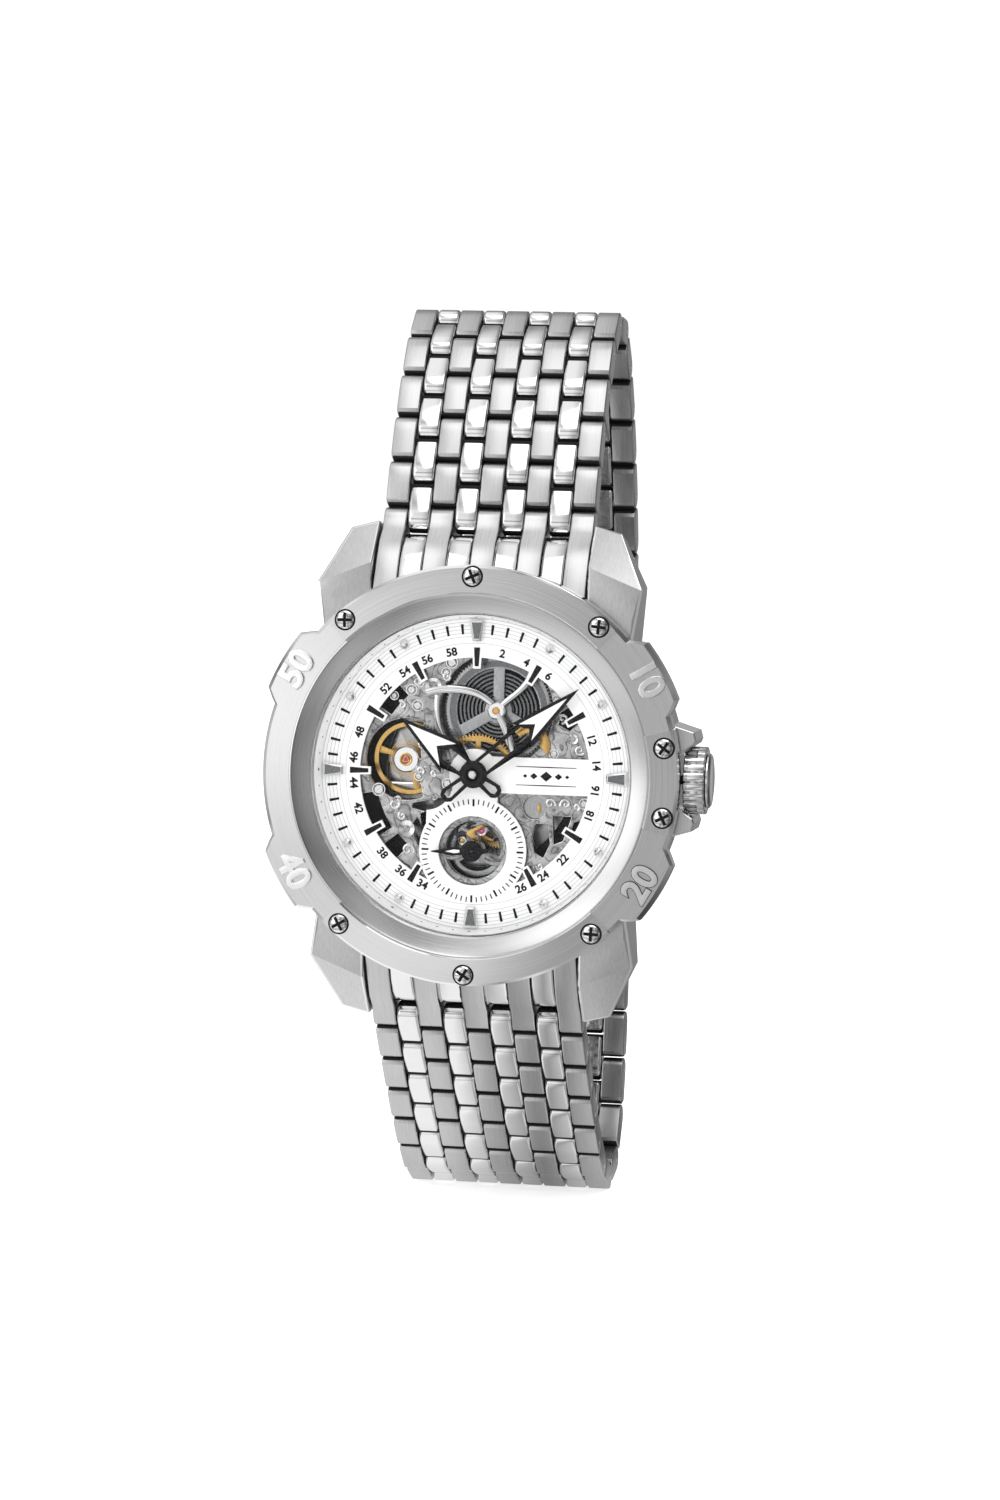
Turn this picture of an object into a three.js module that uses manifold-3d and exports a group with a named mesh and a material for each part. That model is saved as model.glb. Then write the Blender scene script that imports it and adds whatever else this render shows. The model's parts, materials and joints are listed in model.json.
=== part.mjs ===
// Skeleton wristwatch on a steel link bracelet with a folding clasp.
// Millimetres, +Z up. The dial looks along -Y, 12 o'clock is +Z and the crown is on +X.
// The origin is the centre of the case back's outer face.
import * as THREE from 'three';
import { ConvexGeometry } from 'three/addons/geometries/ConvexGeometry.js';
import { mergeVertices } from 'three/addons/utils/BufferGeometryUtils.js';
import Module from 'manifold-3d';

const wasm = await Module();
wasm.setup();

// ---------- driving dimensions ----------
// Depths in the head are distances in front of the case back's outer face.
const bezelRadius = 22.8;
const bezelTabReach = 1.2;          // how far the numbered tabs stand out past the bezel
const bezelLow = 13.1;              // depth of the lower bezel steps
const bezelHigh = 13.5;             // depth of the raised bezel steps
const caseFront = 10.25;            // where the bezel seats on the case
const caseInset = 0.5;              // case band inside the bezel's edge
const boreRadius = 17.4;            // case bore that holds dial and movement
const funnelWidth = 2.6;            // slope from the bezel's upper face down to the bore
const backPlateDepth = 1.0;         // thickness of the case back's flange
const backRadius = 18.5;
const windowRadius = 12.5;          // case back window
const dialDepth = 9.2;              // dial's front face
const dialThickness = 0.4;
const apertureRadius = 12.65;       // opening of the skeleton dial
const subDialOffset = 8.35;         // small seconds axis below the centre
const subDialRadius = 5.9;
const subDialOpening = 3.77;
const crystalThickness = 1.4;
const crystalStand = 2.0;           // crystal's inner face in front of the dial
const fitGap = 0.05;                // seats and press fits
const runGap = 0.08;                // turning and sliding fits
const seatStep = 0.1;               // air between stacked rings

const bandWidth = 23.4;             // bracelet width
const columns = 9;                  // link columns across the bracelet
const linkPitch = 5.5;
const linkThickness = 2.8;
const linkSideGap = 0.12;           // between neighbouring columns
const linkEndGap = 0.32;            // between a link's end and the next nose
const linksPerSide = 12;
const hingeStand = 4.4;             // first bracelet pin, beyond the bezel's edge
const hingeDepth = 2.4;             // first bracelet pin, in front of the case back

const lugGap = 0.15;                // between a lug and the end link
const lugWidth = 6.0;
const crownRadius = 3.7;
const crownLength = 2.85;
const crownStand = 0.55;            // between the case's edge and the crown
const crownClearance = 0.25;        // between the crown and its guards
const crownDepth = 6.6;             // crown axis, in front of the case back
const stemRadius = 0.5;

const plateFront = 8.2;             // main plate, front face
const plateThickness = 1.0;
const bridgeBack = 3.5;             // bridges, back face
const bridgeThickness = 0.9;
const arborRadius = 0.25;
const rotorGap = 1.8;               // between the rotor's edge and the bore
const minuteHandGap = 2.4;          // between the minute hand's tip and the bore
const stemEntry = 4.8;              // how far the winding stem reaches inside the bore

const half = linkThickness / 2;
const hingeReach = bezelRadius + hingeStand;
const lugReach = hingeReach;
const funnelRadius = boreRadius + funnelWidth;
const headSegments = 40;
const clockwise = (degrees, radius) => {
  const turn = THREE.MathUtils.degToRad(degrees);
  return new THREE.Vector2(radius * Math.sin(turn), radius * Math.cos(turn));
};

// ---------- materials ----------
const finish = (color, roughness, metalness) =>
  new THREE.MeshStandardMaterial({ color, roughness, metalness });
const brushedSteel = finish(0xc4c5c6, 0.38, 1);
const polishedSteel = finish(0xe2e3e4, 0.12, 1);
const whiteDial = finish(0xf2f2f0, 0.55, 0);
const blackPaint = finish(0x141414, 0.4, 0);
const greyPlate = finish(0x9a9b9c, 0.4, 1);
const brass = finish(0xd9a441, 0.25, 1);
const springSteel = finish(0x5c5e62, 0.3, 1);
const sapphire = finish(0xe8f0f4, 0.03, 0);
sapphire.transparent = true;
sapphire.opacity = 0.2;
const rubber = finish(0x1c1c1c, 0.7, 0);

// ---------- solids ----------
function clean(geometry) {
  const bare = geometry.clone();
  for (const name of Object.keys(bare.attributes)) {
    if (name !== 'position') bare.deleteAttribute(name);
  }
  const merged = mergeVertices(bare, 1e-4);
  const old = merged.index.array;
  const kept = [];
  for (let i = 0; i < old.length; i += 3) {
    const [a, b, c] = [old[i], old[i + 1], old[i + 2]];
    if (a !== b && b !== c && c !== a) kept.push(a, b, c);
  }
  merged.setIndex(kept);
  return merged;
}

function solid(geometry) {
  const shape = clean(geometry);
  return new wasm.Manifold(new wasm.Mesh({
    numProp: 3,
    vertProperties: new Float32Array(shape.attributes.position.array),
    triVerts: new Uint32Array(shape.index.array),
  }));
}

function geometryOf(body) {
  const cut = body.getMesh();
  const geometry = new THREE.BufferGeometry();
  geometry.setAttribute('position', new THREE.BufferAttribute(cut.vertProperties, 3));
  geometry.setIndex(new THREE.BufferAttribute(cut.triVerts, 1));
  return geometry;
}

const join = (bodies) => bodies.reduce((whole, body) => whole.add(body));
const cutAway = (body, tools) => tools.reduce((whole, tool) => whole.subtract(tool), body);

// A straight prism from low to high along the local z axis.
function prism(points, low, high, holes = []) {
  const shape = new THREE.Shape(points.map((p) => (p.isVector2 ? p : new THREE.Vector2(...p))));
  for (const hole of holes) shape.holes.push(new THREE.Path(hole));
  const geometry = new THREE.ExtrudeGeometry(shape, { depth: high - low, bevelEnabled: false });
  return geometry.translate(0, 0, low);
}

// A turned body about the local z axis from [radius, height] points, closed on itself or the axis.
function turned(profile, segments = headSegments) {
  const points = profile.map(([r, h]) => new THREE.Vector2(r, h));
  if (THREE.ShapeUtils.area(points) < 0) points.reverse();
  const onAxis = points[0].x === 0 && points[points.length - 1].x === 0;
  if (!onAxis) points.push(points[0].clone());
  return new THREE.LatheGeometry(points, segments).rotateX(Math.PI / 2);
}

const disc = (radius, low, high, segments = headSegments) =>
  turned([[0, low], [radius, low], [radius, high], [0, high]], segments);
const ringAt = (inner, outer, low, high, segments = headSegments) =>
  turned([[inner, low], [outer, low], [outer, high], [inner, high]], segments);
const drill = (x, y, radius, low, high, segments = 10) =>
  solid(disc(radius, low, high, segments).translate(x, y, 0));

const box = (x0, x1, y0, y1, z0, z1) => solid(
  new THREE.BoxGeometry(x1 - x0, y1 - y0, z1 - z0)
    .translate((x0 + x1) / 2, (y0 + y1) / 2, (z0 + z1) / 2));

function piece(parent, name, geometry, material) {
  const mesh = new THREE.Mesh(geometry.isBufferGeometry ? geometry : geometryOf(geometry), material);
  mesh.name = name;
  parent.add(mesh);
  return mesh;
}

// ---------- the head, drawn facing its wearer: x to 3 o'clock, y to 12, z to the front ----------
const watch = new THREE.Group();
const head = new THREE.Group();
head.rotation.x = Math.PI / 2;
watch.add(head);

const caseRadius = bezelRadius - caseInset;
const alongStem = (geometry) => geometry.rotateY(Math.PI / 2).translate(0, 0, crownDepth);
const stemBore = () => alongStem(disc(stemRadius + 0.65, boreRadius - 3.4, caseRadius + 4, 16));
const bandHalf = bandWidth / 2;
const lugInner = bandHalf + lugGap;

// One lug: a block that falls away from the bezel in two facets that meet at a crease.
function lug(side, end) {
  const inner = lugInner;
  const outer = lugInner + lugWidth;
  const top = caseFront - 0.4;
  const foot = 0.8;
  const root = lugReach - 13.2;
  const notch = lugReach - 9.5;
  const crease = lugReach - 6.6;
  const corners = [
    [inner, root, top], [outer - 1, root, top], [outer - 0.9, notch, top - 0.3],
    [inner, crease - 0.2, top - 0.3], [inner, lugReach - 3.7, top - 2], [outer, crease, top - 1.5],
    [inner, lugReach, 3.4], [outer - 2.9, lugReach - 0.7, 3.7],
    [inner, root, foot], [outer - 1, root, foot], [outer - 0.5, crease, foot + 0.8],
    [outer - 3.1, lugReach - 1.4, foot], [inner, lugReach - 0.6, foot],
  ];
  return solid(new ConvexGeometry(corners.map(([x, y, z]) => new THREE.Vector3(x * side, y * end, z))));
}

function caseMiddle() {
  const band = solid(turned([
    [boreRadius, backPlateDepth], [caseRadius - 2, backPlateDepth], [caseRadius, backPlateDepth + 2],
    [caseRadius, caseFront], [boreRadius, caseFront],
  ]));
  const guardPlan = (end) => {
    const inside = crownRadius + crownClearance;
    const points = [
      [-4.3, -1.5], [-0.3, -1.5], [0.15, -1.05], [1.7, 0], [1.9, 0.5], [1.65, 1.4], [-0.8, 2.15], [-4.3, 4.5],
    ].map(([out, aside]) => [caseRadius + out, (inside + aside) * end]);
    return end > 0 ? points : points.reverse();
  };
  const guards = [1, -1].map((end) => solid(prism(guardPlan(end), 3, caseFront - 0.4)));
  const lugs = [[1, 1], [-1, 1], [1, -1], [-1, -1]].map(([side, end]) => lug(side, end));
  const bore = solid(disc(boreRadius, 0, caseFront + 1));
  const stemHole = solid(stemBore());
  const crownRoom = solid(alongStem(disc(crownRadius + crownClearance, caseRadius, caseRadius + 3, 48)));
  const backRecess = solid(disc(backRadius + fitGap, -1, backPlateDepth + fitGap));
  return cutAway(join([band, ...guards, ...lugs]), [bore, stemHole, crownRoom, backRecess]);
}
piece(head, 'case_middle', caseMiddle(), brushedSteel);

// Bezel: a scalloped ring with four numbered tabs, three raised steps and a funnel to the crystal.
const bezelBase = caseFront + fitGap;
const tabAngles = [60, 120, 240, 300];
const raisedSteps = [[-44, 44], [75.5, 104.5], [136, 224]];
function bezel() {
  const outline = [];
  for (let angle = 0; angle < 360; angle += 6) outline.push(clockwise(-angle, bezelRadius));
  const rim = solid(prism(outline, bezelBase, bezelLow));
  const tabs = tabAngles.map((angle) => {
    const reach = bezelRadius + bezelTabReach;
    const corners = [[-11.5, bezelRadius - 0.4], [-8.3, reach], [-3, reach + 0.15],
      [3, reach + 0.15], [8.3, reach], [11.5, bezelRadius - 0.4]];
    const points = corners.map(([turn, r]) => clockwise(angle + turn, r)).reverse();
    points.push(clockwise(angle, bezelRadius - 4));
    return solid(prism(points, bezelBase, bezelLow));
  });
  const steps = raisedSteps.map(([from, to]) => {
    const points = [];
    for (let k = 0; k <= 12; k++) points.push(clockwise(from + ((to - from) * k) / 12, bezelRadius - 0.1));
    for (let k = 12; k >= 0; k--) points.push(clockwise(from + ((to - from) * k) / 12, funnelRadius + 0.3));
    return solid(prism(points.reverse(), bezelBase + 1, bezelHigh));
  });
  const opening = solid(turned([
    [0, bezelBase - 1], [boreRadius + fitGap, bezelBase - 1], [boreRadius + fitGap, 12.3],
    [funnelRadius, bezelLow], [funnelRadius, bezelHigh + 1], [0, bezelHigh + 1],
  ]));
  return join([rim, ...tabs, ...steps]).subtract(opening);
}
piece(head, 'bezel', bezel(), polishedSteel);

const crystalBack = dialDepth + crystalStand;
piece(head, 'crystal', turned([
  [0, crystalBack], [boreRadius - fitGap, crystalBack],
  [boreRadius - fitGap, crystalBack + crystalThickness - 0.3],
  [boreRadius - fitGap - 0.3, crystalBack + crystalThickness], [0, crystalBack + crystalThickness],
]), sapphire);
piece(head, 'flange_ring', turned([
  [boreRadius - 0.5, dialDepth + fitGap], [boreRadius - fitGap, dialDepth + fitGap],
  [boreRadius - fitGap, crystalBack - fitGap], [boreRadius - 0.25, crystalBack - fitGap],
]), whiteDial);

// Dial: a rim, a centre disc, a band to 3 o'clock, the small seconds ring and a neck between them.
function dial() {
  const low = dialDepth - dialThickness;
  const rim = solid(ringAt(apertureRadius, boreRadius - 0.2, low, dialDepth));
  const centreRadius = 2.7;
  const bandHalfWidth = 1.95;
  const middle = solid(disc(centreRadius, low, dialDepth, 32));
  const band = box(0, apertureRadius + 0.5, -bandHalfWidth, bandHalfWidth, low, dialDepth);
  const neck = box(-5.2, 2.4, -subDialOffset + 3, -1.2, low, dialDepth);
  const subDial = solid(disc(subDialRadius, low, dialDepth, 48)).translate([0, -subDialOffset, 0]);
  const round = solid(disc(apertureRadius + 0.5, low, dialDepth));
  const holes = [
    drill(0, 0, 1.35, low - 1, dialDepth + 1, 24),
    drill(0, -subDialOffset, subDialOpening, low - 1, dialDepth + 1, 40),
  ];
  return cutAway(rim.add(join([middle, band, neck, subDial]).intersect(round)), holes);
}
piece(head, 'dial', dial(), whiteDial);

piece(head, 'case_back', turned([
  [windowRadius + fitGap, 0], [backRadius - 0.6, 0], [backRadius, 0.5],
  [backRadius, backPlateDepth], [boreRadius - fitGap, backPlateDepth],
  [boreRadius - fitGap, backPlateDepth + 0.6], [windowRadius + fitGap, backPlateDepth + 0.6],
]), brushedSteel);
piece(head, 'case_back_glass', disc(windowRadius, 0, backPlateDepth), sapphire);

// ---------- crown and stem ----------
const crownStart = caseRadius + crownStand;
const crownGroup = new THREE.Group();
head.add(crownGroup);

function crown() {
  const flutes = 12;
  const outline = [];
  for (let k = 0; k < flutes; k++) {
    for (const [turn, r] of [[0.12, crownRadius - 0.45], [0.32, crownRadius], [0.8, crownRadius]]) {
      outline.push(clockwise((-360 * (k + turn)) / flutes, r));
    }
  }
  const grip = prism(outline, crownStart, crownStart + crownLength - 0.5);
  const cap = disc(crownRadius - 0.6, crownStart + 1, crownStart + crownLength, 28);
  const socket = disc(stemRadius + fitGap, crownStart - 1, crownStart + 2, 16);
  return solid(grip).add(solid(cap)).subtract(solid(socket));
}
const stemTip = boreRadius - stemEntry;
piece(crownGroup, 'crown', alongStem(geometryOf(crown())), polishedSteel);
piece(crownGroup, 'winding_stem', alongStem(turned([
  [0, stemTip], [0.3, stemTip], [0.3, stemTip + 1], [stemRadius, stemTip + 1],
  [stemRadius, crownStart + 1.9],
  [0, crownStart + 1.9],
], 16)), springSteel);
piece(crownGroup, 'crown_gasket', alongStem(
  ringAt(stemRadius + fitGap, stemRadius + 0.6, boreRadius + 1, boreRadius + 2.5, 16)), rubber);

// ---------- going train ----------
// Axes in the head: the barrel stands right of 12 o'clock, the balance at 9 o'clock.
const axis = {
  barrel: [2.1, 6.9],
  centre: [0, 0],
  third: [2.5, -4.45],
  fourth: [0, -subDialOffset],
  escape: [-2.4, -5.35],
  pallet: [-4.5, -2.7],
  balance: [-7.7, 1.3],
};
const gapBetween = (a, b) => Math.hypot(axis[a][0] - axis[b][0], axis[a][1] - axis[b][1]);
const toothBite = 0.06;
const leaves = 6;                    // leaves of the small pinions
const barrelTeeth = 48;
const centreTeeth = 48;
const thirdTeeth = 45;
const fourthTeeth = 42;

// A toothed rim with a window between each pair of spokes.
function wheel(radius, teeth, low, high, spokes, rimWidth, hubRadius) {
  const outline = [];
  for (let k = 0; k < teeth; k++) {
    outline.push(clockwise((-360 * k) / teeth, radius));
    outline.push(clockwise((-360 * (k + 0.5)) / teeth, radius - 0.28));
  }
  const windows = [];
  const inner = radius - rimWidth;
  for (let s = 0; s < spokes; s++) {
    const margin = 9;
    const from = (360 * s) / spokes + margin;
    const to = (360 * (s + 1)) / spokes - margin;
    const points = [];
    for (let k = 0; k <= 4; k++) points.push(clockwise(from + ((to - from) * k) / 4, inner));
    points.push(clockwise(to - 12, hubRadius), clockwise(from + 12, hubRadius));
    windows.push(points);
  }
  return solid(prism(outline, low, high, windows));
}

function pinion(radius, leaves, low, high) {
  const outline = [];
  for (let k = 0; k < leaves; k++) {
    outline.push(clockwise((-360 * k) / leaves, radius));
    outline.push(clockwise((-360 * (k + 0.5)) / leaves, radius - 0.25));
  }
  return solid(prism(outline, low, high));
}

const arbor = (low, high, radius = arborRadius, segments = 12) =>
  solid(disc(radius, low, high, segments));
const at = (name, body) => body.translate([...axis[name], 0]);

const bridgeFront = bridgeBack + bridgeThickness;
const plateBack = plateFront - plateThickness;
const arborFrom = bridgeBack + 0.2;
const arborTo = plateFront - 0.2;
const barrelRadius = 6.0;
const barrelFloor = 4.9;
const barrelLid = 6.4;
const centreLevel = plateBack - 0.3;
const centrePinionRadius = gapBetween('barrel', 'centre') - barrelRadius + toothBite;
const centreRadius = 4.3;
const thirdPinionRadius = gapBetween('centre', 'third') - centreRadius + toothBite;
const thirdRadius = 3.85;
const fourthPinionRadius = gapBetween('third', 'fourth') - thirdRadius + toothBite;
const fourthRadius = 3.3;
const escapePinionRadius = gapBetween('fourth', 'escape') - fourthRadius + toothBite;
const escapeRadius = 2.2;
const balanceRadius = 4.0;

function barrel() {
  const lid = wheel(barrelRadius, barrelTeeth, barrelLid, barrelLid + 0.4, 3, 1.5, 1.6);
  const wall = solid(ringAt(4.6, 4.9, barrelFloor, barrelLid + 0.1, 24));
  const floor = solid(disc(4.9, barrelFloor, barrelFloor + 0.25, 24));
  return join([lid, wall, floor]).subtract(drill(0, 0, 0.6 + runGap, 0, 12));
}
piece(head, 'barrel', at('barrel', barrel()), greyPlate);
piece(head, 'barrel_arbor', at('barrel', arbor(arborFrom, plateFront - 0.1, 0.6, 16)), brass);

// A flat ribbon wound from the inner to the outer radius.
function spiral(inner, outer, turns, width, low, high, stepsPerTurn) {
  const steps = turns * stepsPerTurn;
  const edge = (offset) => Array.from({ length: steps + 1 }, (_, k) =>
    clockwise((360 * k) / stepsPerTurn, inner + ((outer - inner) * k) / steps + offset));
  return prism([...edge(width), ...edge(0).reverse()], low, high);
}
piece(head, 'mainspring', at('barrel',
  solid(spiral(1.4, 4.2, 4, 0.25, barrelFloor + 0.35, barrelLid - 0.1, 12))), springSteel);

piece(head, 'centre_wheel', at('centre', join([
  wheel(centreRadius, centreTeeth, centreLevel, centreLevel + 0.2, 4, 0.8, 0.8),
  pinion(centrePinionRadius, barrelTeeth / 6, barrelLid - 0.2, centreLevel + 0.1),
  arbor(arborFrom, dialDepth + 1.6, 0.4),
])), brass);
piece(head, 'third_wheel', at('third', join([
  wheel(thirdRadius, thirdTeeth, bridgeFront + 0.8, bridgeFront + 1.0, 3, 0.7, 0.7),
  pinion(thirdPinionRadius, leaves, bridgeFront + 0.9, centreLevel + 0.25),
  arbor(arborFrom, arborTo),
])), brass);
piece(head, 'fourth_wheel', at('fourth', join([
  wheel(fourthRadius, fourthTeeth, bridgeFront + 1.5, bridgeFront + 1.7, 3, 0.6, 0.6),
  pinion(fourthPinionRadius, leaves, bridgeFront + 0.7, bridgeFront + 1.6),
  arbor(arborFrom, dialDepth + 0.9),
])), brass);

function escapeWheel() {
  const teeth = 15;
  const outline = [];
  for (let k = 0; k < teeth; k++) {
    outline.push(clockwise((-360 * k) / teeth, escapeRadius));
    outline.push(clockwise((-360 * (k + 0.35)) / teeth, escapeRadius - 0.55));
    outline.push(clockwise((-360 * (k + 0.8)) / teeth, escapeRadius - 0.55));
  }
  return join([
    solid(prism(outline, bridgeFront + 2.1, bridgeFront + 2.3)),
    pinion(escapePinionRadius, leaves, bridgeFront + 1.4, bridgeFront + 2.2),
    arbor(arborFrom, arborTo),
  ]);
}
piece(head, 'escape_wheel', at('escape', escapeWheel()), springSteel);

// The fork's axis runs from the escape wheel to the balance; its stones sit clear of the teeth.
function palletFork() {
  const [ex, ey] = axis.escape;
  const [px, py] = axis.pallet;
  const reach = Math.hypot(ex - px, ey - py);
  const stone = escapeRadius + 0.3;
  const plan = [
    [reach - stone - 0.1, -1.6], [reach - stone + 0.9, -2.1], [reach - stone + 1, -1.75],
    [reach - stone, -1.1], [reach - stone - 0.05, 1.1], [reach - stone + 1, 1.75],
    [reach - stone + 0.9, 2.1], [reach - stone - 0.1, 1.6], [0.3, 0.35], [-3.2, 0.25],
    [-3.9, 0.55], [-3.9, 0.3], [-3.4, 0], [-3.9, -0.3], [-3.9, -0.55], [-3.2, -0.25], [0.3, -0.35],
  ];
  const level = bridgeFront + 2.05;
  return join([
    solid(prism(plan.reverse(), level, level + 0.3)),
    arbor(arborFrom, arborTo, 0.2),
  ]).rotate([0, 0, THREE.MathUtils.radToDeg(Math.atan2(ey - py, ex - px))]);
}
piece(head, 'pallet_fork', at('pallet', palletFork()), springSteel);

const balanceLevel = bridgeFront + 1.2;
function balanceWheel() {
  const rim = solid(ringAt(balanceRadius - 0.5, balanceRadius, balanceLevel, balanceLevel + 0.5, 40));
  const arms = [0, 120, 240].map((turn) =>
    box(-0.25, 0.25, 0, balanceRadius - 0.3, balanceLevel + 0.1, balanceLevel + 0.4).rotate([0, 0, turn]));
  const hub = solid(disc(0.7, balanceLevel, balanceLevel + 0.5, 16));
  return join([rim, ...arms, hub, arbor(arborFrom, plateFront - 0.5, 0.2)]);
}
piece(head, 'balance_wheel', at('balance', balanceWheel()), brass);
piece(head, 'hairspring', at('balance',
  solid(spiral(0.6, 2.1, 3, 0.07, plateBack - 0.35, plateBack - 0.1, 12))), springSteel);

// ---------- plates and bridges ----------
const wheelNames = ['barrel', 'centre', 'third', 'fourth', 'escape', 'pallet', 'balance'];
const pivotHoles = (low, high) => wheelNames.map((name) => {
  const radius = { barrel: 0.6, centre: 0.4 }[name] ?? arborRadius;
  return drill(...axis[name], radius + runGap, low, high);
});

const cockTurn = 118;                // the cock's foot, clockwise from 12 o'clock
const cockPlan = (gap) => [
  box(-1.1 - gap, 1.1 + gap, 0, 6.2 + gap, plateBack - gap, plateFront + gap)
    .rotate([0, 0, -cockTurn]),
  solid(disc(1.4 + gap, plateBack - gap, plateFront + gap, 28)),
];
piece(head, 'balance_cock', at('balance', cutAway(join(cockPlan(0)), [
  drill(0, 0, arborRadius + runGap, 0, plateFront - 0.4),
])), greyPlate);

function mainPlate() {
  const plate = solid(disc(boreRadius - 0.8, plateBack, plateFront));
  const openings = [
    ['barrel', 5.2], ['balance', balanceRadius + 0.5],
  ].map(([name, radius]) => drill(...axis[name], radius, 0, 12, 24));
  const small = drill(...axis.fourth, 2.6, 0, 12, 20);
  const arm = (name, turn, reach, width) =>
    at(name, box(-width / 2, width / 2, 0, reach, plateBack, plateFront).rotate([0, 0, turn]));
  const arms = [
    arm('barrel', 45, 5.8, 0.9), arm('barrel', -60, 5.8, 0.9), arm('barrel', 170, 5.8, 0.9),
    arm('fourth', 25, 3, 0.9), arm('fourth', 205, 3, 0.9),
  ];
  const bosses = [
    drill(...axis.barrel, 1.3, plateBack, plateFront), drill(...axis.fourth, 0.8, plateBack, plateFront),
  ];
  const opened = cutAway(plate, [...openings, small]);
  const cockSeat = at('balance', join(cockPlan(fitGap)));
  return cutAway(join([opened, ...arms, ...bosses]), [...pivotHoles(0, 12), cockSeat]);
}
piece(head, 'main_plate', mainPlate(), greyPlate);

const bridgeSplit = -1.6;
function bridge(low, high) {
  const round = solid(disc(boreRadius - 0.8, bridgeBack, bridgeFront, 48));
  const slab = box(-20, 20, low, high, bridgeBack - 1, bridgeFront + 1);
  return cutAway(round.intersect(slab), pivotHoles(0, 12));
}
const rotorPost = ringAt(0.5, 0.9, bridgeBack - 1.6, bridgeBack + 0.1, 20);
piece(head, 'barrel_bridge', bridge(bridgeSplit, 20).add(solid(rotorPost)), greyPlate);
piece(head, 'train_bridge', bridge(-20, bridgeSplit - seatStep), greyPlate);
piece(head, 'movement_ring', cutAway(solid(ringAt(
  boreRadius - 0.8 + fitGap, boreRadius - fitGap, bridgeBack - 0.5, dialDepth - dialThickness - seatStep,
)), [solid(stemBore())]), greyPlate);

function rotor() {
  const low = bridgeBack - 1.5;
  const reach = boreRadius - rotorGap;
  const plan = [];
  for (let k = 0; k <= 12; k++) plan.push(clockwise(92 + (176 * k) / 12, reach));
  plan.push(clockwise(262, 2), clockwise(0, 2), clockwise(98, 2));
  const web = solid(prism(plan.reverse(), low + 0.3, low + 0.9));
  const weight = solid(ringAt(reach - 2.8, reach, low, low + 1.1, 36))
    .intersect(box(-20, 20, -20, -0.6, 0, 9));
  const hub = solid(disc(2.4, low, low + 1.1, 24));
  return join([web, weight, hub]).subtract(drill(0, 0, 0.9 + runGap, 0, 9, 20));
}
piece(head, 'rotor', rotor(), greyPlate);

// ---------- motion work and hands ----------
const hourPipe = 1.15;
const cannonPipe = 0.75;
piece(head, 'cannon_pinion', join([
  pinion(1.0, 12, plateFront + 0.06, plateFront + 0.25),
  solid(ringAt(0.4 + runGap, cannonPipe, plateFront + 0.06, dialDepth + 1.5, 20)),
]).subtract(drill(0, 0, 0.4 + runGap, 0, 20, 20)), springSteel);
piece(head, 'hour_wheel', join([
  wheel(2.5, 24, plateFront + 0.3, plateFront + 0.5, 0, 0.5, 1.5),
  solid(disc(hourPipe, plateFront + 0.3, dialDepth + 0.8, 20)),
]).subtract(drill(0, 0, cannonPipe + runGap, 0, 20, 20)), brass);

// A skeleton arrow hand: two slim rails, an arrow head and a split tail about a round hub.
function hand({ length, tail, headLength, headWidth, hub, hole, low, high }) {
  const base = length - headLength;
  const rail = 0.55;
  const plan = [
    [-rail, -tail], [rail, -tail], [rail, base - 1.2], [headWidth / 2, base], [0, length],
    [-headWidth / 2, base], [-rail, base - 1.2],
  ];
  return join([solid(prism(plan, low, high)), solid(disc(hub, low, high, 28))])
    .subtract(drill(0, 0, hole, low - 1, high + 1, 20));
}
const hourAngle = 305.9;
const minuteAngle = 49.8;
const secondsAngle = 268;
piece(head, 'hour_hand', hand({
  length: 10.2, tail: 3.6, headLength: 5.2, headWidth: 3.6, hub: 1.9, hole: hourPipe + fitGap,
  low: dialDepth + 0.45, high: dialDepth + 0.75,
}).rotate([0, 0, -hourAngle]), blackPaint);
piece(head, 'minute_hand', hand({
  length: boreRadius - minuteHandGap, tail: 4.2, headLength: 6.4, headWidth: 3.4, hub: 1.7,
  hole: cannonPipe + fitGap, low: dialDepth + 1.0, high: dialDepth + 1.3,
}).rotate([0, 0, -minuteAngle]), blackPaint);
piece(head, 'seconds_hand', hand({
  length: 4.4, tail: 1.3, headLength: 3, headWidth: 0.7, hub: 0.95, hole: arborRadius + fitGap,
  low: dialDepth + 0.55, high: dialDepth + 0.8,
}).rotate([0, 0, -secondsAngle]).translate([0, -subDialOffset, 0]), blackPaint);

// ---------- bracelet ----------
const columnWidth = bandWidth / columns;
const nose = linkPitch / 4;
const columnSpan = (index) => {
  const from = -bandHalf + index * columnWidth + linkSideGap / 2;
  return [from, from + columnWidth - linkSideGap];
};

// One column's side view along the bracelet: a round nose about its pin and a square tail.
function columnProfile(pin, tail) {
  const way = Math.sign(tail - pin);
  const points = [];
  for (let k = 0; k <= 4; k++) {
    const turn = Math.PI / 2 + (Math.PI * k) / 4;
    points.push([pin + way * nose * Math.cos(turn), half * Math.sin(turn)]);
  }
  points.push([tail, -half], [tail, half]);
  return way > 0 ? points : points.reverse();
}

// A profile in (along, outward) carried across the bracelet between two widths.
function across(profile, from, to) {
  return solid(prism(profile, from, to).applyMatrix4(new THREE.Matrix4().makeBasis(
    new THREE.Vector3(0, 1, 0), new THREE.Vector3(0, 0, 1), new THREE.Vector3(1, 0, 0))));
}

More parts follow.
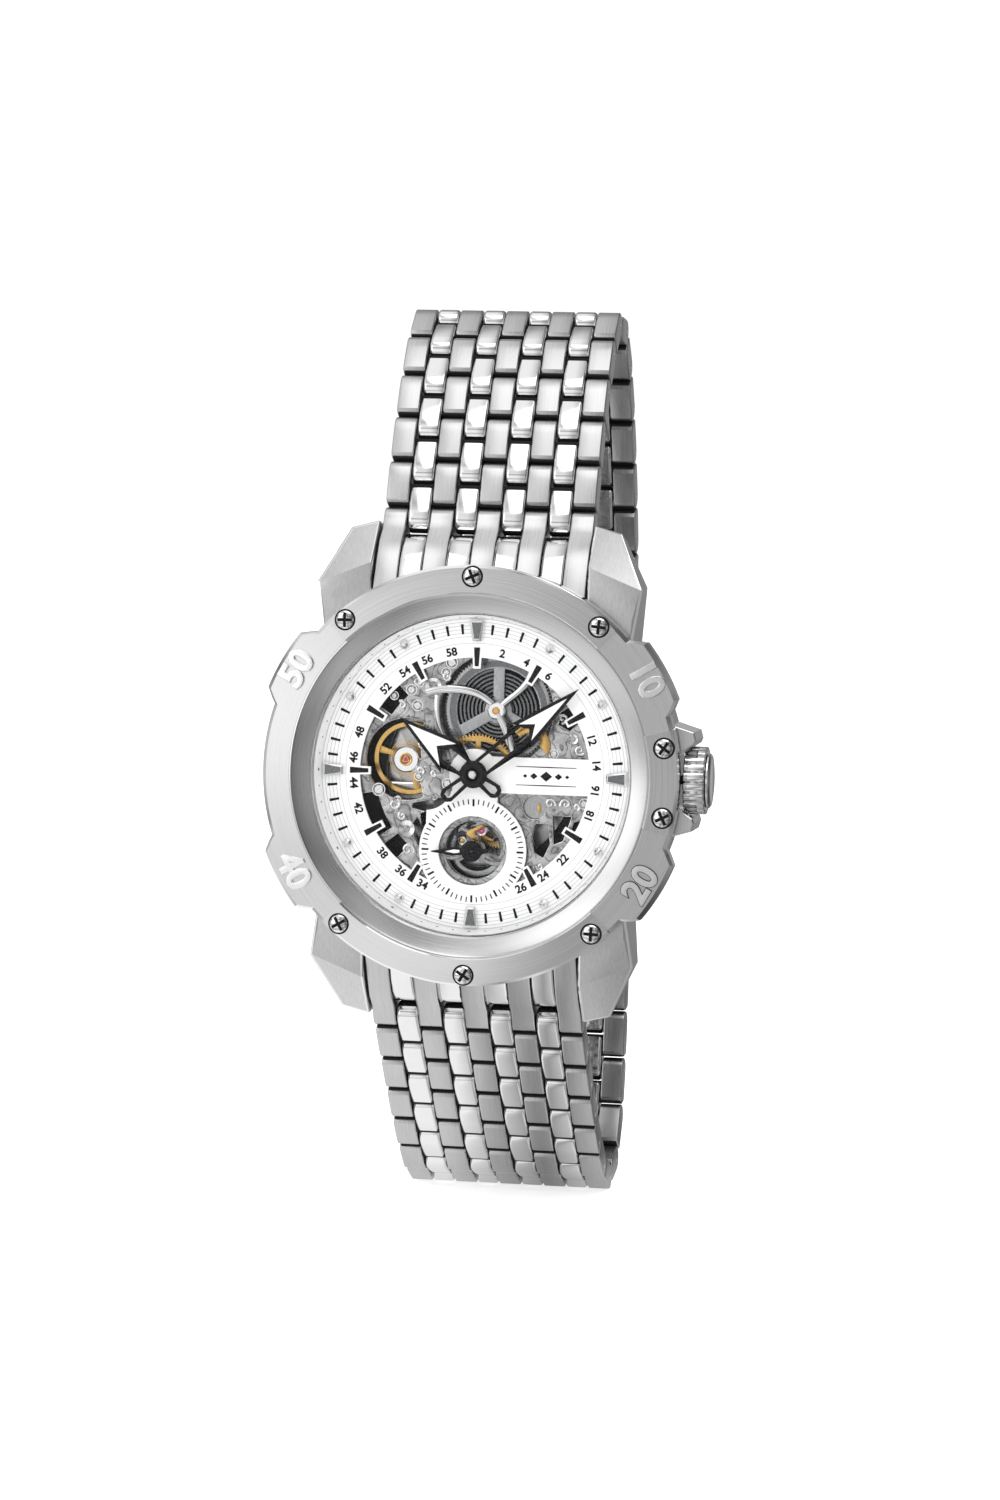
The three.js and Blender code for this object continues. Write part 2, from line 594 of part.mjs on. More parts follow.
// A comb link: polished columns reach back round this link's pin, brushed ones forward to the next.
function link() {
  const shoulder = nose + linkEndGap;
  const [edge] = columnSpan(0);
  const plan = [[edge, shoulder]];
  for (let index = 1; index < columns; index += 2) {
    const [from, to] = columnSpan(index);
    plan.push([from, shoulder], [from, -nose], [to, -nose], [to, shoulder]);
  }
  plan.push([-edge, shoulder]);
  for (let index = columns - 1; index >= 0; index -= 2) {
    const [from, to] = columnSpan(index);
    const root = linkPitch - shoulder;
    if (index < columns - 1) plan.push([to, root]);
    plan.push([to, linkPitch + nose], [from, linkPitch + nose]);
    if (index > 0) plan.push([from, root]);
  }
  const round = (pin, way) => [1, 0.5, -0.5, -1].map((share) =>
    [pin + way * nose * Math.cos(Math.asin(share)), half * share]);
  const profile = [...round(linkPitch, 1), ...round(0, -1).reverse()].reverse();
  return solid(prism(plan, -half - 1, half + 1)).intersect(across(profile, -bandHalf, bandHalf));
}
const linkGeometry = geometryOf(link());

// The bracelet's side view: each link's slope falls evenly and turns fastest near the crest.
function chain({ startSlope, endSlope, turnShare, crest, spread }) {
  const ease = (along) => Math.tanh((along - crest) / spread);
  const [low, high] = [ease(0), ease(1)];
  const pins = [new THREE.Vector2(-hingeDepth, hingeReach)];
  const slopes = [];
  for (let k = 0; k < linksPerSide; k++) {
    const along = (k + 0.5) / linksPerSide;
    const share = (1 - turnShare) * along + (turnShare * (ease(along) - low)) / (high - low);
    const slope = THREE.MathUtils.degToRad(startSlope + (endSlope - startSlope) * share);
    slopes.push(slope);
    pins.push(pins[k].clone().add(
      new THREE.Vector2(linkPitch * Math.cos(slope), linkPitch * Math.sin(slope))));
  }
  return { pins, slopes };
}
const upper = chain({ startSlope: 69.5, endSlope: -79, turnShare: 0.65, crest: 0.452, spread: 0.084 });
const lower = chain({ startSlope: 48, endSlope: -89, turnShare: 0.9, crest: 0.555, spread: 0.113 });

// The end link fills the space between the lugs and carries the first pin.
function endLink(slope) {
  const profile = [
    [hingeReach - 10, 2.5], [hingeReach - 1.2, hingeDepth - 1.1], [hingeReach - 0.2, hingeDepth + 1.8],
    [hingeReach - 3.4, hingeDepth + 5.2], [hingeReach - 10, caseFront - 0.4],
  ];
  const pocket = solid(disc(nose + linkEndGap, -bandHalf - 1, bandHalf + 1, 16).rotateY(Math.PI / 2))
    .translate([0, hingeReach, hingeDepth]);
  const fingers = [];
  for (let index = 0; index < columns; index += 2) {
    fingers.push(across(columnProfile(0, -linkPitch), ...columnSpan(index))
      .rotate([THREE.MathUtils.radToDeg(slope) - 90, 0, 0])
      .translate([0, hingeReach, hingeDepth]));
  }
  const body = across(profile, -bandHalf, bandHalf).subtract(pocket);
  return join([body, ...fingers]).subtract(solid(disc(caseRadius + 2 * fitGap, -1, 12)));
}

const sides = [['u', upper, 0], ['l', lower, Math.PI]];
for (const [letter, { pins, slopes }, flip] of sides) {
  const group = new THREE.Group();
  group.rotation.y = flip;
  watch.add(group);
  const seat = new THREE.Group();
  seat.rotation.x = Math.PI / 2;
  group.add(seat);
  piece(seat, letter === 'u' ? 'end_link_upper' : 'end_link_lower', endLink(slopes[0]), brushedSteel);
  slopes.forEach((slope, k) => {
    const name = `link_${letter}${String(k + 1).padStart(2, '0')}`;
    const mesh = piece(group, name, linkGeometry.clone(), k % 2 ? polishedSteel : brushedSteel);
    mesh.position.set(0, pins[k].x, pins[k].y);
    mesh.rotation.x = slope;
  });
}

// ---------- folding clasp, spanning from the lower chain's last pin to the upper chain's ----------
const topPin = upper.pins[linksPerSide];
const bottomPin = lower.pins[linksPerSide].clone();
bottomPin.y *= -1;
const claspRun = topPin.clone().sub(bottomPin);
const claspLength = claspRun.length();
const clasp = new THREE.Group();
clasp.position.set(0, bottomPin.x, bottomPin.y);
clasp.rotation.x = Math.atan2(claspRun.y, claspRun.x);
watch.add(clasp);

// Local axes: y from the bottom pin to the top pin, z towards the wrist.
const bladeLap = 1.0;                // how far the blades reach over the outer fingers
const bladeThickness = 0.9;
const coverThickness = 1.1;
const coverInset = 0.9;              // cover's sides inside the bracelet's
const coverLap = 0.4;                // cover plate over its fingers' tails
const bladeHalf = bandHalf - 2 * columnWidth + bladeLap;
const coverHalf = bandHalf - coverInset;
const bladeGap = 0.2;
const foldInset = 4.8;               // fold hinges stand in from the pins
const knuckle = 0.75;
const knuckleHalf = 2.5;             // half width of the middle knuckle
const foldAir = 0.1;
const fingerTail = 2.8;

const innerBack = half + 0.1;        // wrist face of the inner blade
const innerFront = innerBack - bladeThickness;
const middleBack = innerFront - bladeGap;
const middleFront = middleBack - bladeThickness;
const coverBack = middleFront - bladeGap;
const coverFront = coverBack - coverThickness;
const foldTop = [claspLength - foldInset, innerFront - bladeGap / 2];
const foldBottom = [foldInset, middleFront - bladeGap / 2];
const standOff = knuckle + foldAir;

const knuckleAt = ([y, z], from, to) =>
  solid(disc(knuckle, from, to, 12).rotateY(Math.PI / 2)).translate([0, y, z]);
const outerKnuckles = [[-bladeHalf, -knuckleHalf - foldAir], [knuckleHalf + foldAir, bladeHalf]];
const middleKnuckle = [[-knuckleHalf, knuckleHalf]];

// Fingers in the gaps of the neighbouring link, with a nose about the pin.
function claspFingers(pin, tail) {
  const fingers = [];
  for (let index = 1; index < columns; index += 2) {
    fingers.push(across(columnProfile(pin, tail), ...columnSpan(index)));
  }
  return fingers;
}

// A blade's knuckles at one fold, each with the tongue that carries it.
function foldEnd(fold, spans, way, front, back) {
  return spans.flatMap(([from, to]) => {
    const [y0, y1] = way > 0 ? [fold[0] - standOff - 0.5, fold[0]] : [fold[0], fold[0] + standOff + 0.5];
    return [knuckleAt(fold, from, to), box(from, to, y0, y1, front, back)];
  });
}

piece(clasp, 'clasp_inner_blade', join([
  box(-bladeHalf, bladeHalf, fingerTail - 1, foldTop[0] - standOff, innerFront, innerBack),
  ...claspFingers(0, fingerTail),
  ...foldEnd(foldTop, outerKnuckles, 1, innerFront, innerBack),
]), polishedSteel);
piece(clasp, 'clasp_middle_blade', join([
  box(-bladeHalf, bladeHalf, foldBottom[0] + standOff, foldTop[0] - standOff, middleFront, middleBack),
  ...foldEnd(foldTop, middleKnuckle, 1, middleFront, middleBack),
  ...foldEnd(foldBottom, middleKnuckle, -1, middleFront, middleBack),
]), polishedSteel);
const flange = (side) => box(
  side > 0 ? coverHalf - 1.3 : -coverHalf, side > 0 ? coverHalf : -coverHalf + 1.3,
  foldBottom[0] + standOff + 1, claspLength - fingerTail - 1, coverFront, innerBack - 0.2);
piece(clasp, 'clasp_cover', join([
  box(-coverHalf, coverHalf, foldBottom[0] + standOff, claspLength - fingerTail + coverLap,
    coverFront, coverBack),
  flange(1), flange(-1),
  ...claspFingers(claspLength, claspLength - fingerTail),
  ...foldEnd(foldBottom, outerKnuckles, -1, coverFront, coverBack),
]), brushedSteel);

export default watch;
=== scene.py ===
"""Skeleton wristwatch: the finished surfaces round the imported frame."""
import json
import math

import bmesh
import bpy
from mathutils import Matrix, Vector


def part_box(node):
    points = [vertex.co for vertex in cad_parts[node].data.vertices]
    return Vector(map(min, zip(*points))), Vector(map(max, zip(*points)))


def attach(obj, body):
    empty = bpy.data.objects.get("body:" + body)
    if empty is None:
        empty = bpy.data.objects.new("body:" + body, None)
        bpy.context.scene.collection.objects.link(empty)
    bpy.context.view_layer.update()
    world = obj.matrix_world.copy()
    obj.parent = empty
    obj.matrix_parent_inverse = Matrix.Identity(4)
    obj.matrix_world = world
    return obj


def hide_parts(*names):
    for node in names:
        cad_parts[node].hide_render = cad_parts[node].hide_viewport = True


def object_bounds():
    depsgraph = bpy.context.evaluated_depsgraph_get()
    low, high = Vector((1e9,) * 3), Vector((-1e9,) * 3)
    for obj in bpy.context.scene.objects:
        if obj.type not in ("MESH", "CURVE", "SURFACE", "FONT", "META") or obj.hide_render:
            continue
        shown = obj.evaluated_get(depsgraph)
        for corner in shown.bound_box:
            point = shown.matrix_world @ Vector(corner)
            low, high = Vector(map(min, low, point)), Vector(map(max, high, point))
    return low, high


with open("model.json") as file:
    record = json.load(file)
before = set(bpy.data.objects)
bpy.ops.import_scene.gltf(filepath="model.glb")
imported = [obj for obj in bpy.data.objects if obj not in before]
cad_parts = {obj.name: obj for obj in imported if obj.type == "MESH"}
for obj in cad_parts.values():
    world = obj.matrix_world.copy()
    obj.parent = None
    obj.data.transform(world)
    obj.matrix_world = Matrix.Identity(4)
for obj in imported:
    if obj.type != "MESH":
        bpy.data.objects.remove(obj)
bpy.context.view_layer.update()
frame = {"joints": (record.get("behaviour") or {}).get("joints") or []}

MM = 0.001


def depth_span(node):
    """Back and front of a node, in millimetres in front of the case back."""
    low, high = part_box(node)
    return -high.y / MM, -low.y / MM


# ---------------------------------------------------------------- camera and light

BEZEL_BACK, BEZEL_FRONT = depth_span("bezel")
DIAL_BACK, DIAL_FRONT = depth_span("dial")


FILM = 36
IMAGE_HEIGHT = 1500
CAMERA_ANGLES = (9.8, 3.9, 1.35)
CAMERA_DISTANCE = 0.475
CAMERA_SCALE = 9.22 / MM
CAMERA_SHIFT = (25.8 / IMAGE_HEIGHT, 24.1 / IMAGE_HEIGHT)


def photographer():
    """A long lens a little to the crown side and just above the dial."""
    azimuth, elevation, roll = map(math.radians, CAMERA_ANGLES)
    side = Vector((math.cos(azimuth), math.sin(azimuth), 0))
    back = Vector((math.sin(azimuth) * math.cos(elevation),
                   -math.cos(azimuth) * math.cos(elevation), math.sin(elevation)))
    rise = back.cross(side)
    right = side * math.cos(roll) + rise * math.sin(roll)
    up = rise * math.cos(roll) - side * math.sin(roll)
    lens = bpy.data.cameras.new("camera")
    lens.sensor_fit = "VERTICAL"
    lens.sensor_height = lens.sensor_width = FILM
    lens.lens = FILM * CAMERA_DISTANCE * CAMERA_SCALE / IMAGE_HEIGHT
    lens.shift_x, lens.shift_y = CAMERA_SHIFT
    lens.clip_start, lens.clip_end = 0.01, 10
    camera = bpy.data.objects.new("camera", lens)
    dial_centre = Vector((0, -DIAL_FRONT * MM, 0))
    camera.matrix_world = Matrix.Translation(dial_centre + back * CAMERA_DISTANCE) @ Matrix(
        (right, up, back)).transposed().to_4x4()
    bpy.context.scene.collection.objects.link(camera)
    bpy.context.scene.camera = camera


def soft_box(name, place, size, power):
    """A rectangular panel that faces the watch."""
    light = bpy.data.lights.new(name, "AREA")
    light.shape = "RECTANGLE"
    light.size, light.size_y = size
    light.energy = power
    holder = bpy.data.objects.new(name, light)
    holder.location = place
    holder.rotation_mode = "QUATERNION"
    holder.rotation_quaternion = (-Vector(place)).to_track_quat("-Z", "Y")
    bpy.context.scene.collection.objects.link(holder)


photographer()


# ---------------------------------------------------------------- surfaces

OBJECT_POINT = 3
GLOSSY_RAY = 3
HAIR_LINE, ENGRAVED, RIBBED = 0.00002, 0.00006, 0.00008
FLOOR_GLOW = 0.62
SURROUND_LIGHT = 1.05
MIX_COLOURS = (6, 7)
MIX_RESULT = 2
VECTOR_SCALE = 3


class Wire:
    """A shader value that can be added, scaled and compared like a number."""

    def __init__(self, finish, socket):
        self.finish = finish
        self.socket = socket

    def math(self, operation, *others):
        """Any arithmetic node with this value first."""
        return self.finish.node("ShaderNodeMath", {"operation": operation}, (self, *others))

    def __add__(self, other):
        return self.math("ADD", other)

    def __sub__(self, other):
        return self.math("SUBTRACT", other)

    def __rsub__(self, other):
        return self.finish.node("ShaderNodeMath", {"operation": "SUBTRACT"}, (other, self))

    def __mul__(self, other):
        return self.math("MULTIPLY", other)

    __radd__ = __add__
    __rmul__ = __mul__


class Nodes:
    """A node tree that is written like sums."""

    def __init__(self, tree):
        self.tree = tree

    def node(self, kind, settings=None, sockets=(), out=0):
        """A node with its settings, its socket values or links, and the output that is used."""
        made = self.tree.nodes.new(kind)
        for setting, value in (settings or {}).items():
            if setting == "stops":
                self.fill_ramp(made.color_ramp, value)
            else:
                setattr(made, setting, value)
        pairs = sockets.items() if isinstance(sockets, dict) else enumerate(sockets)
        for key, value in pairs:
            if isinstance(value, Wire):
                self.tree.links.new(value.socket, made.inputs[key])
            else:
                made.inputs[key].default_value = value
        return Wire(self, made.outputs[out])

    @staticmethod
    def fill_ramp(ramp, stops):
        while len(ramp.elements) < len(stops):
            ramp.elements.new(0.5)
        for element, (place, shade) in zip(ramp.elements, stops):
            element.position = place
            element.color = (shade, shade, shade, 1) if isinstance(shade, float) else (*shade, 1)

    def ramp(self, value, *stops):
        return self.node("ShaderNodeValToRGB", {"stops": stops}, (value,))

    def mix(self, share, first, second, blend="MIX"):
        """A colour between two, or one multiplied by the other."""
        return self.node("ShaderNodeMix", {"data_type": "RGBA", "blend_type": blend},
                         {0: share, MIX_COLOURS[0]: first, MIX_COLOURS[1]: second}, out=MIX_RESULT)

    def axes(self, vector):
        return [self.node("ShaderNodeSeparateXYZ", None, (vector,), out=axis) for axis in range(3)]

    def bands(self, toward):
        """What steel mirrors in each direction: paler left, darker right, banded from low to high."""
        x, y, z = self.axes(toward)
        sides = self.ramp(x * 0.5 + 0.5, (0.0, 0.5), (0.1, 0.9), (0.2, 1.0), (0.32, 1.0), (0.43, 0.97),
                          (0.47, 0.7), (0.54, 0.34), (0.62, 0.8), (0.68, 0.4), (0.77, 0.4), (0.86, 0.1),
                          (1.0, 0.4))
        heights = self.ramp(z * 0.5 + 0.5, (0.0, 1.0), (0.13, 1.0), (0.17, 0.5), (0.21, 0.6), (0.27, 1.0),
                            (0.34, 1.0), (0.37, 0.5), (0.41, 0.75), (0.45, 1.0), (0.54, 1.0), (0.59, 0.8),
                            (0.66, 0.3), (0.72, 0.95), (0.79, 0.8), (0.84, 0.95), (0.89, 0.45), (0.94, 0.95),
                            (1.0, 1.0))
        depths = self.ramp(y * 0.5 + 0.5, (0.0, 1.0), (0.62, 1.0), (0.74, 0.7), (0.86, 0.35), (1.0, 0.6))
        level = self.mix(1.0, sides, heights, "MULTIPLY")
        return self.mix(1.0, level, depths, "MULTIPLY")

    def seen_or_mirrored(self, seen, mirrored, output):
        """One look for the eye and another for what the steel mirrors."""
        ray = self.node("ShaderNodeLightPath", out=GLOSSY_RAY)
        both = self.node("ShaderNodeMixShader", None, (ray, seen, mirrored))
        self.tree.links.new(both.socket, self.tree.nodes[output].inputs["Surface"])


class Finish(Nodes):
    """One material."""

    def __init__(self, name, **constants):
        self.material = bpy.data.materials.new(name)
        self.material.use_nodes = True
        super().__init__(self.material.node_tree)
        self.shader = self.tree.nodes["Principled BSDF"]
        for socket, value in constants.items():
            self.shader.inputs[socket.replace("_", " ")].default_value = value

    def place(self):
        """The surface point in millimetres, as x, y and z."""
        point = self.node("ShaderNodeTexCoord", out=OBJECT_POINT)
        return self.axes(self.node("ShaderNodeVectorMath", {"operation": "SCALE"},
                                   {0: point, VECTOR_SCALE: 1 / MM}))

    def noise(self, x, y, z, detail=2.0, rough=0.5):
        """Soft random grain at stretched coordinates."""
        vector = self.node("ShaderNodeCombineXYZ", None, (x, y, z))
        return self.node("ShaderNodeTexNoise", {"noise_dimensions": "3D"},
                         {"Vector": vector, "Scale": 1.0, "Detail": detail, "Roughness": rough})

    def feed(self, **links):
        """Values that vary over the surface, by shader socket."""
        for socket, wire in links.items():
            self.tree.links.new(wire.socket, self.shader.inputs[socket.replace("_", " ")])
        return self

    def bump(self, height, strength=0.2, distance=HAIR_LINE):
        normal = self.node("ShaderNodeBump", None,
                           {"Height": height, "Strength": strength, "Distance": distance})
        return self.feed(Normal=normal)


def shade(value):
    return (value, value, value, 1)


def brushed_steel(name, grain, tone=0.72, roughness=0.3, depth=0.12):
    """Steel drawn over a belt: fine scratches that run one way. grain holds x, y, z frequencies."""
    steel = Finish(name, Metallic=1.0)
    x, y, z = steel.place()
    fine = steel.noise(x * grain[0], y * grain[1], z * grain[2], 3.0, 0.6)
    broad = steel.noise(x * 0.16, y * 0.16, z * 0.16, 1.0)
    streak = fine * 0.75 + broad * 0.25
    steel.feed(Base_Color=steel.mix(steel.ramp(streak, (0.3, 0.0), (0.7, 1.0)),
                                    shade(tone * 0.86), shade(tone * 1.1)),
               Roughness=streak * 0.22 + (roughness - 0.11))
    return steel.bump(fine, depth).material


def turned_steel(name, tone=0.7, roughness=0.3, turns=22.0):
    """Steel finished on a lathe: hair lines in rings about the dial's axis."""
    steel = Finish(name, Metallic=1.0)
    x, y, z = steel.place()
    radius = (x * x + z * z).math("SQRT")
    angle = x.math("ARCTAN2", z)
    fine = steel.noise(radius * turns, angle * 1.5, y * 2.0, 3.0, 0.6)
    steel.feed(Base_Color=steel.mix(fine, shade(tone * 0.84), shade(tone * 1.12)),
               Roughness=fine * 0.2 + (roughness - 0.1))
    return steel.bump(fine, 0.14).material


def polished_steel(name, tone=0.86, roughness=0.09):
    """Mirror steel with the faint haze that handling leaves."""
    steel = Finish(name, Metallic=1.0)
    x, y, z = steel.place()
    haze = steel.noise(x * 0.7, y * 0.7, z * 0.7, 4.0, 0.6)
    fine = steel.noise(x * 9.0, y * 9.0, z * 9.0, 2.0)
    steel.feed(Base_Color=steel.mix(haze, shade(tone * 0.95), shade(tone * 1.03)),
               Roughness=haze * 0.05 + fine * 0.03 + (roughness - 0.04))
    return steel.bump(haze, 0.02).material


def plated(name, colour, roughness=0.2, turns=10.0):
    """Gilt or rhodium plate with circular grain."""
    plate = Finish(name, Metallic=1.0)
    x, y, z = plate.place()
    grain = plate.noise(x * turns, y * 3.0, z * turns * 0.4, 3.0, 0.6)
    dark = tuple(c * 0.74 for c in colour)
    plate.feed(Base_Color=plate.mix(plate.ramp(grain, (0.3, 0.0), (0.75, 1.0)), (*dark, 1), (*colour, 1)),
               Roughness=grain * 0.16 + roughness)
    return plate.bump(grain, 0.1).material


def engraved_plate(name, tone=0.42):
    """Rhodium plate with shallow hand engraving: curled furrows between smooth fields; the furrows are
    painted dark as shade and the fields vary at random.
    """
    plate = Finish(name, Metallic=1.0)
    x, y, z = plate.place()
    warp = plate.noise(x * 0.5, y * 0.1, z * 0.5, 1.0)
    furrow = ((warp * 7.0).math("FRACT") - 0.5).math("ABSOLUTE")
    edge = plate.ramp(furrow, (0.0, 0.0), (0.2, 1.0))
    field = plate.ramp(plate.noise(x * 0.9, y * 0.3, z * 0.9, 2.0), (0.35, 0.0), (0.65, 1.0))
    grain = plate.noise(x * 4.0, y * 2.0, z * 4.0, 3.0, 0.6)
    # Colour: the furrow lines are painted shade, the fields and grain are random tone.
    tone_and_furrow_shade = edge * 0.45 + field * 0.4 + grain * 0.15
    plate.feed(Base_Color=plate.mix(tone_and_furrow_shade, shade(tone * 0.22), shade(tone * 1.5)),
               Roughness=grain * 0.2 + 0.16)
    return plate.bump(edge * 0.6 + field * 0.3 + grain * 0.1, 0.5, ENGRAVED).material


def striped_plate(name, tone=0.5):
    """Rhodium plate with broad parallel ribs, each turned a little from the next."""
    plate = Finish(name, Metallic=1.0)
    x, y, z = plate.place()
    rib = (x * 0.42 + z * 0.2).math("FRACT")
    grain = plate.noise(x * 9.0, y * 2.0, z * 3.0, 3.0, 0.6)
    plate.feed(Base_Color=plate.mix(rib * 0.7 + grain * 0.3, shade(tone * 0.75), shade(tone * 1.2)),
               Roughness=grain * 0.16 + 0.16)
    return plate.bump(rib * 0.8 + grain * 0.2, 0.35, RIBBED).material


def lacquer(name, colour, roughness=0.4, coat=0.3):
    """Smooth paint with the slightest grain under a thin clear coat."""
    paint = Finish(name, Coat_Weight=coat, Coat_Roughness=0.12, Specular_IOR_Level=0.06)
    x, y, z = paint.place()
    grain = paint.noise(x * 5.0, y * 5.0, z * 5.0, 3.0, 0.6)
    low = tuple(c * 0.93 for c in colour)
    paint.feed(Base_Color=paint.mix(grain, (*low, 1), (*colour, 1)), Roughness=grain * 0.12 + roughness)
    return paint.bump(grain, 0.03).material


def clear_crystal(name):
    """Coated sapphire: nearly invisible face on, bright at a glance."""
    glass = Finish(name, IOR=1.5)
    x, y, z = glass.place()
    smear = glass.noise(x * 0.3, y * 0.3, z * 0.3, 3.0, 0.6)
    glass.feed(Base_Color=glass.mix(smear, (0.93, 0.95, 0.97, 1), (0.97, 0.98, 1.0, 1)),
               Roughness=smear * 0.02 + 0.01)
    clear = glass.node("ShaderNodeBsdfTransparent")
    edge = glass.node("ShaderNodeFresnel", None, {"IOR": 1.28})
    seen = glass.node("ShaderNodeMixShader", None, (edge * 0.35, clear, Wire(glass, glass.shader.outputs[0])))
    glass.tree.links.new(seen.socket, glass.tree.nodes["Material Output"].inputs["Surface"])
    return glass.material


def pale_floor():
    """White to look at, grey where the steel mirrors it."""
    floor = Finish("floor", Roughness=0.8)
    x, y, z = floor.place()
    mottle = floor.noise(x * 0.02, y * 0.02, z * 0.02)
    floor.feed(Base_Color=floor.mix(mottle, (0.8, 0.8, 0.8, 1), (0.84, 0.84, 0.84, 1)))
    glow = floor.node("ShaderNodeEmission", None, {"Color": (1, 1, 1, 1), "Strength": FLOOR_GLOW})
    lit = floor.node("ShaderNodeAddShader", None, (glow, Wire(floor, floor.shader.outputs[0])))
    toward = floor.node("ShaderNodeVectorMath", {"operation": "NORMALIZE"},
                        (floor.node("ShaderNodeTexCoord", out=OBJECT_POINT),))
    dull = floor.node("ShaderNodeEmission", None, {"Color": floor.bands(toward)})
    floor.seen_or_mirrored(lit, dull, "Material Output")
    return floor.material


def ruby(name):
    """Synthetic ruby: deep pink with a darker heart."""
    jewel = Finish(name, Roughness=0.06, Coat_Weight=1.0)
    x, y, z = jewel.place()
    depth = jewel.noise(x * 1.6, y * 1.6, z * 1.6, 2.0)
    jewel.feed(Base_Color=jewel.mix(depth, (0.16, 0.005, 0.03, 1), (0.62, 0.05, 0.16, 1)))
    return jewel.material


ALONG = (14.0, 0.25, 0.25)
LINK_BRUSHED = brushed_steel("brushed_link", ALONG, 0.58, 0.3)
LINK_POLISHED = polished_steel("polished_link", 0.88, 0.1)
CLASP_BRUSHED = brushed_steel("brushed_clasp", ALONG, 0.68, 0.3)
BEZEL_FACE = turned_steel("brushed_bezel", 0.74, 0.3, 14.0)
STEP_FACE = turned_steel("satin_step", 0.76, 0.16, 10.0)
NUMERAL = brushed_steel("raised_numeral", (3.0, 1.0, 12.0), 0.95, 0.35)
FACETED = polished_steel("faceted_stud", 0.82, 0.06)
STRIPED = striped_plate("striped_plate")
FLOOR = pale_floor()
CASE_BRUSHED = brushed_steel("brushed_case", (9.0, 1.0, 1.5), 0.66, 0.33)
FUNNEL = turned_steel("turned_funnel", 0.66, 0.24)
BACK_TURNED = turned_steel("turned_back", 0.62, 0.3)
MIRROR = polished_steel("mirror_steel", 0.9, 0.06)
MARKER = polished_steel("marker_steel", 0.8, 0.12)
# Near-black lacquer as painted shade, put in the link gaps and pins, inside the end links, round the bezel
# screws and in the crown's groove.
PAINTED_GAP_SHADE = lacquer("painted_gap_shade", (0.015, 0.015, 0.016), 0.5, 0.0)
WHITE = lacquer("white_lacquer", (0.93, 0.93, 0.925), 0.42, 0.15)
GREY_LINE = lacquer("grey_print", (0.42, 0.43, 0.44), 0.5, 0.0)
BLACK = lacquer("black_lacquer", (0.008, 0.008, 0.009), 0.22, 0.12)
PRINT = lacquer("black_print", (0.012, 0.012, 0.013), 0.45, 0.0)
PLATE = engraved_plate("engraved_plate", 0.46)
RHODIUM = plated("rhodium", (0.56, 0.565, 0.575), 0.16, 6.0)
RHODIUM_DARK = plated("dark_rhodium", (0.25, 0.255, 0.265), 0.2, 6.0)
GILT = plated("gilt", (0.95, 0.6, 0.2), 0.16, 6.0)
SPRING = plated("spring_steel", (0.1, 0.102, 0.11), 0.22, 8.0)
RUBY = ruby("ruby")
CRYSTAL = clear_crystal("sapphire_crystal")
RUBBER = lacquer("seal_rubber", (0.02, 0.02, 0.02), 0.7, 0.0)


# ---------------------------------------------------------------- making shapes
# Shapes are drawn facing the dial in millimetres: x to 3 o'clock, y to 12, z towards the wearer.

FACING = Matrix(((MM, 0, 0, 0), (0, 0, -MM, 0), (0, MM, 0, 0), (0, 0, 0, 1)))
CENTRE = (0, 0)
LEVEL_FACE = 0.97
WELD = 0.0005
ON_AXIS = 1e-6
FLAT_TURN = math.radians(2)
EASE = 0.6


def clock(degrees, radius, centre=(0, 0)):
    """A point at a clock angle, clockwise from 12."""
    turn = math.radians(degrees)
    return centre[0] + radius * math.sin(turn), centre[1] + radius * math.cos(turn)


def circle(radius, centre=(0, 0), steps=64):
    """A round outline."""
    return [clock(360 * k / steps, radius, centre) for k in range(steps)]


def arc(start, end, radius, centre=(0, 0), steps=12):
    """Points from one clock angle to another."""
    return [clock(start + (end - start) * k / steps, radius, centre) for k in range(steps + 1)]


def slab(outlines, low, high, bevel=0.05, rounds=2):
    """A flat part with softened edges: the first outline is its edge and the rest are its windows."""
    sheet = bpy.data.curves.new("outline", "CURVE")
    sheet.dimensions, sheet.fill_mode = "2D", "BOTH"
    sheet.extrude = (high - low) / 2 - bevel
    if bevel:
        sheet.bevel_depth, sheet.offset, sheet.bevel_resolution = bevel, -bevel, rounds
    for outline in outlines:
        spline = sheet.splines.new("POLY")
        spline.points.add(len(outline) - 1)
        for point, (x, y) in zip(spline.points, outline):
            point.co = (x, y, 0, 1)
        spline.use_cyclic_u = True
    return edges_marked(lifted(sheet, (low + high) / 2))


def prisms(outlines, low, high):
    """Many small flat marks in one shape."""
    body = bmesh.new()
    for outline in outlines:
        top = [body.verts.new((x, y, high)) for x, y in outline]
        foot = [body.verts.new((x, y, low)) for x, y in outline]
        body.faces.new(top)
        body.faces.new(foot[::-1])
        for k in range(len(outline)):
            after = (k + 1) % len(outline)
            body.faces.new((top[k], foot[k], foot[after], top[after]))
    bmesh.ops.recalc_face_normals(body, faces=body.faces)
    return finished(body)


def edges_marked(mesh):
    """Faces that aren't level get the second finish."""
    for face in mesh.polygons:
        face.material_index = 0 if abs(face.normal.z) > LEVEL_FACE else 1
    return mesh


def lifted(curve, height):
    """A drawn curve as a closed mesh at its height."""
    holder = bpy.data.objects.new("drawing", curve)
    body = bmesh.new()
    body.from_mesh(bpy.data.meshes.new_from_object(holder))
    bmesh.ops.remove_doubles(body, verts=body.verts, dist=WELD)
    bmesh.ops.recalc_face_normals(body, faces=body.faces)
    bpy.data.objects.remove(holder)
    bpy.data.curves.remove(curve)
    mesh = finished(body)
    mesh.transform(Matrix.Translation((0, 0, height)))
    return mesh


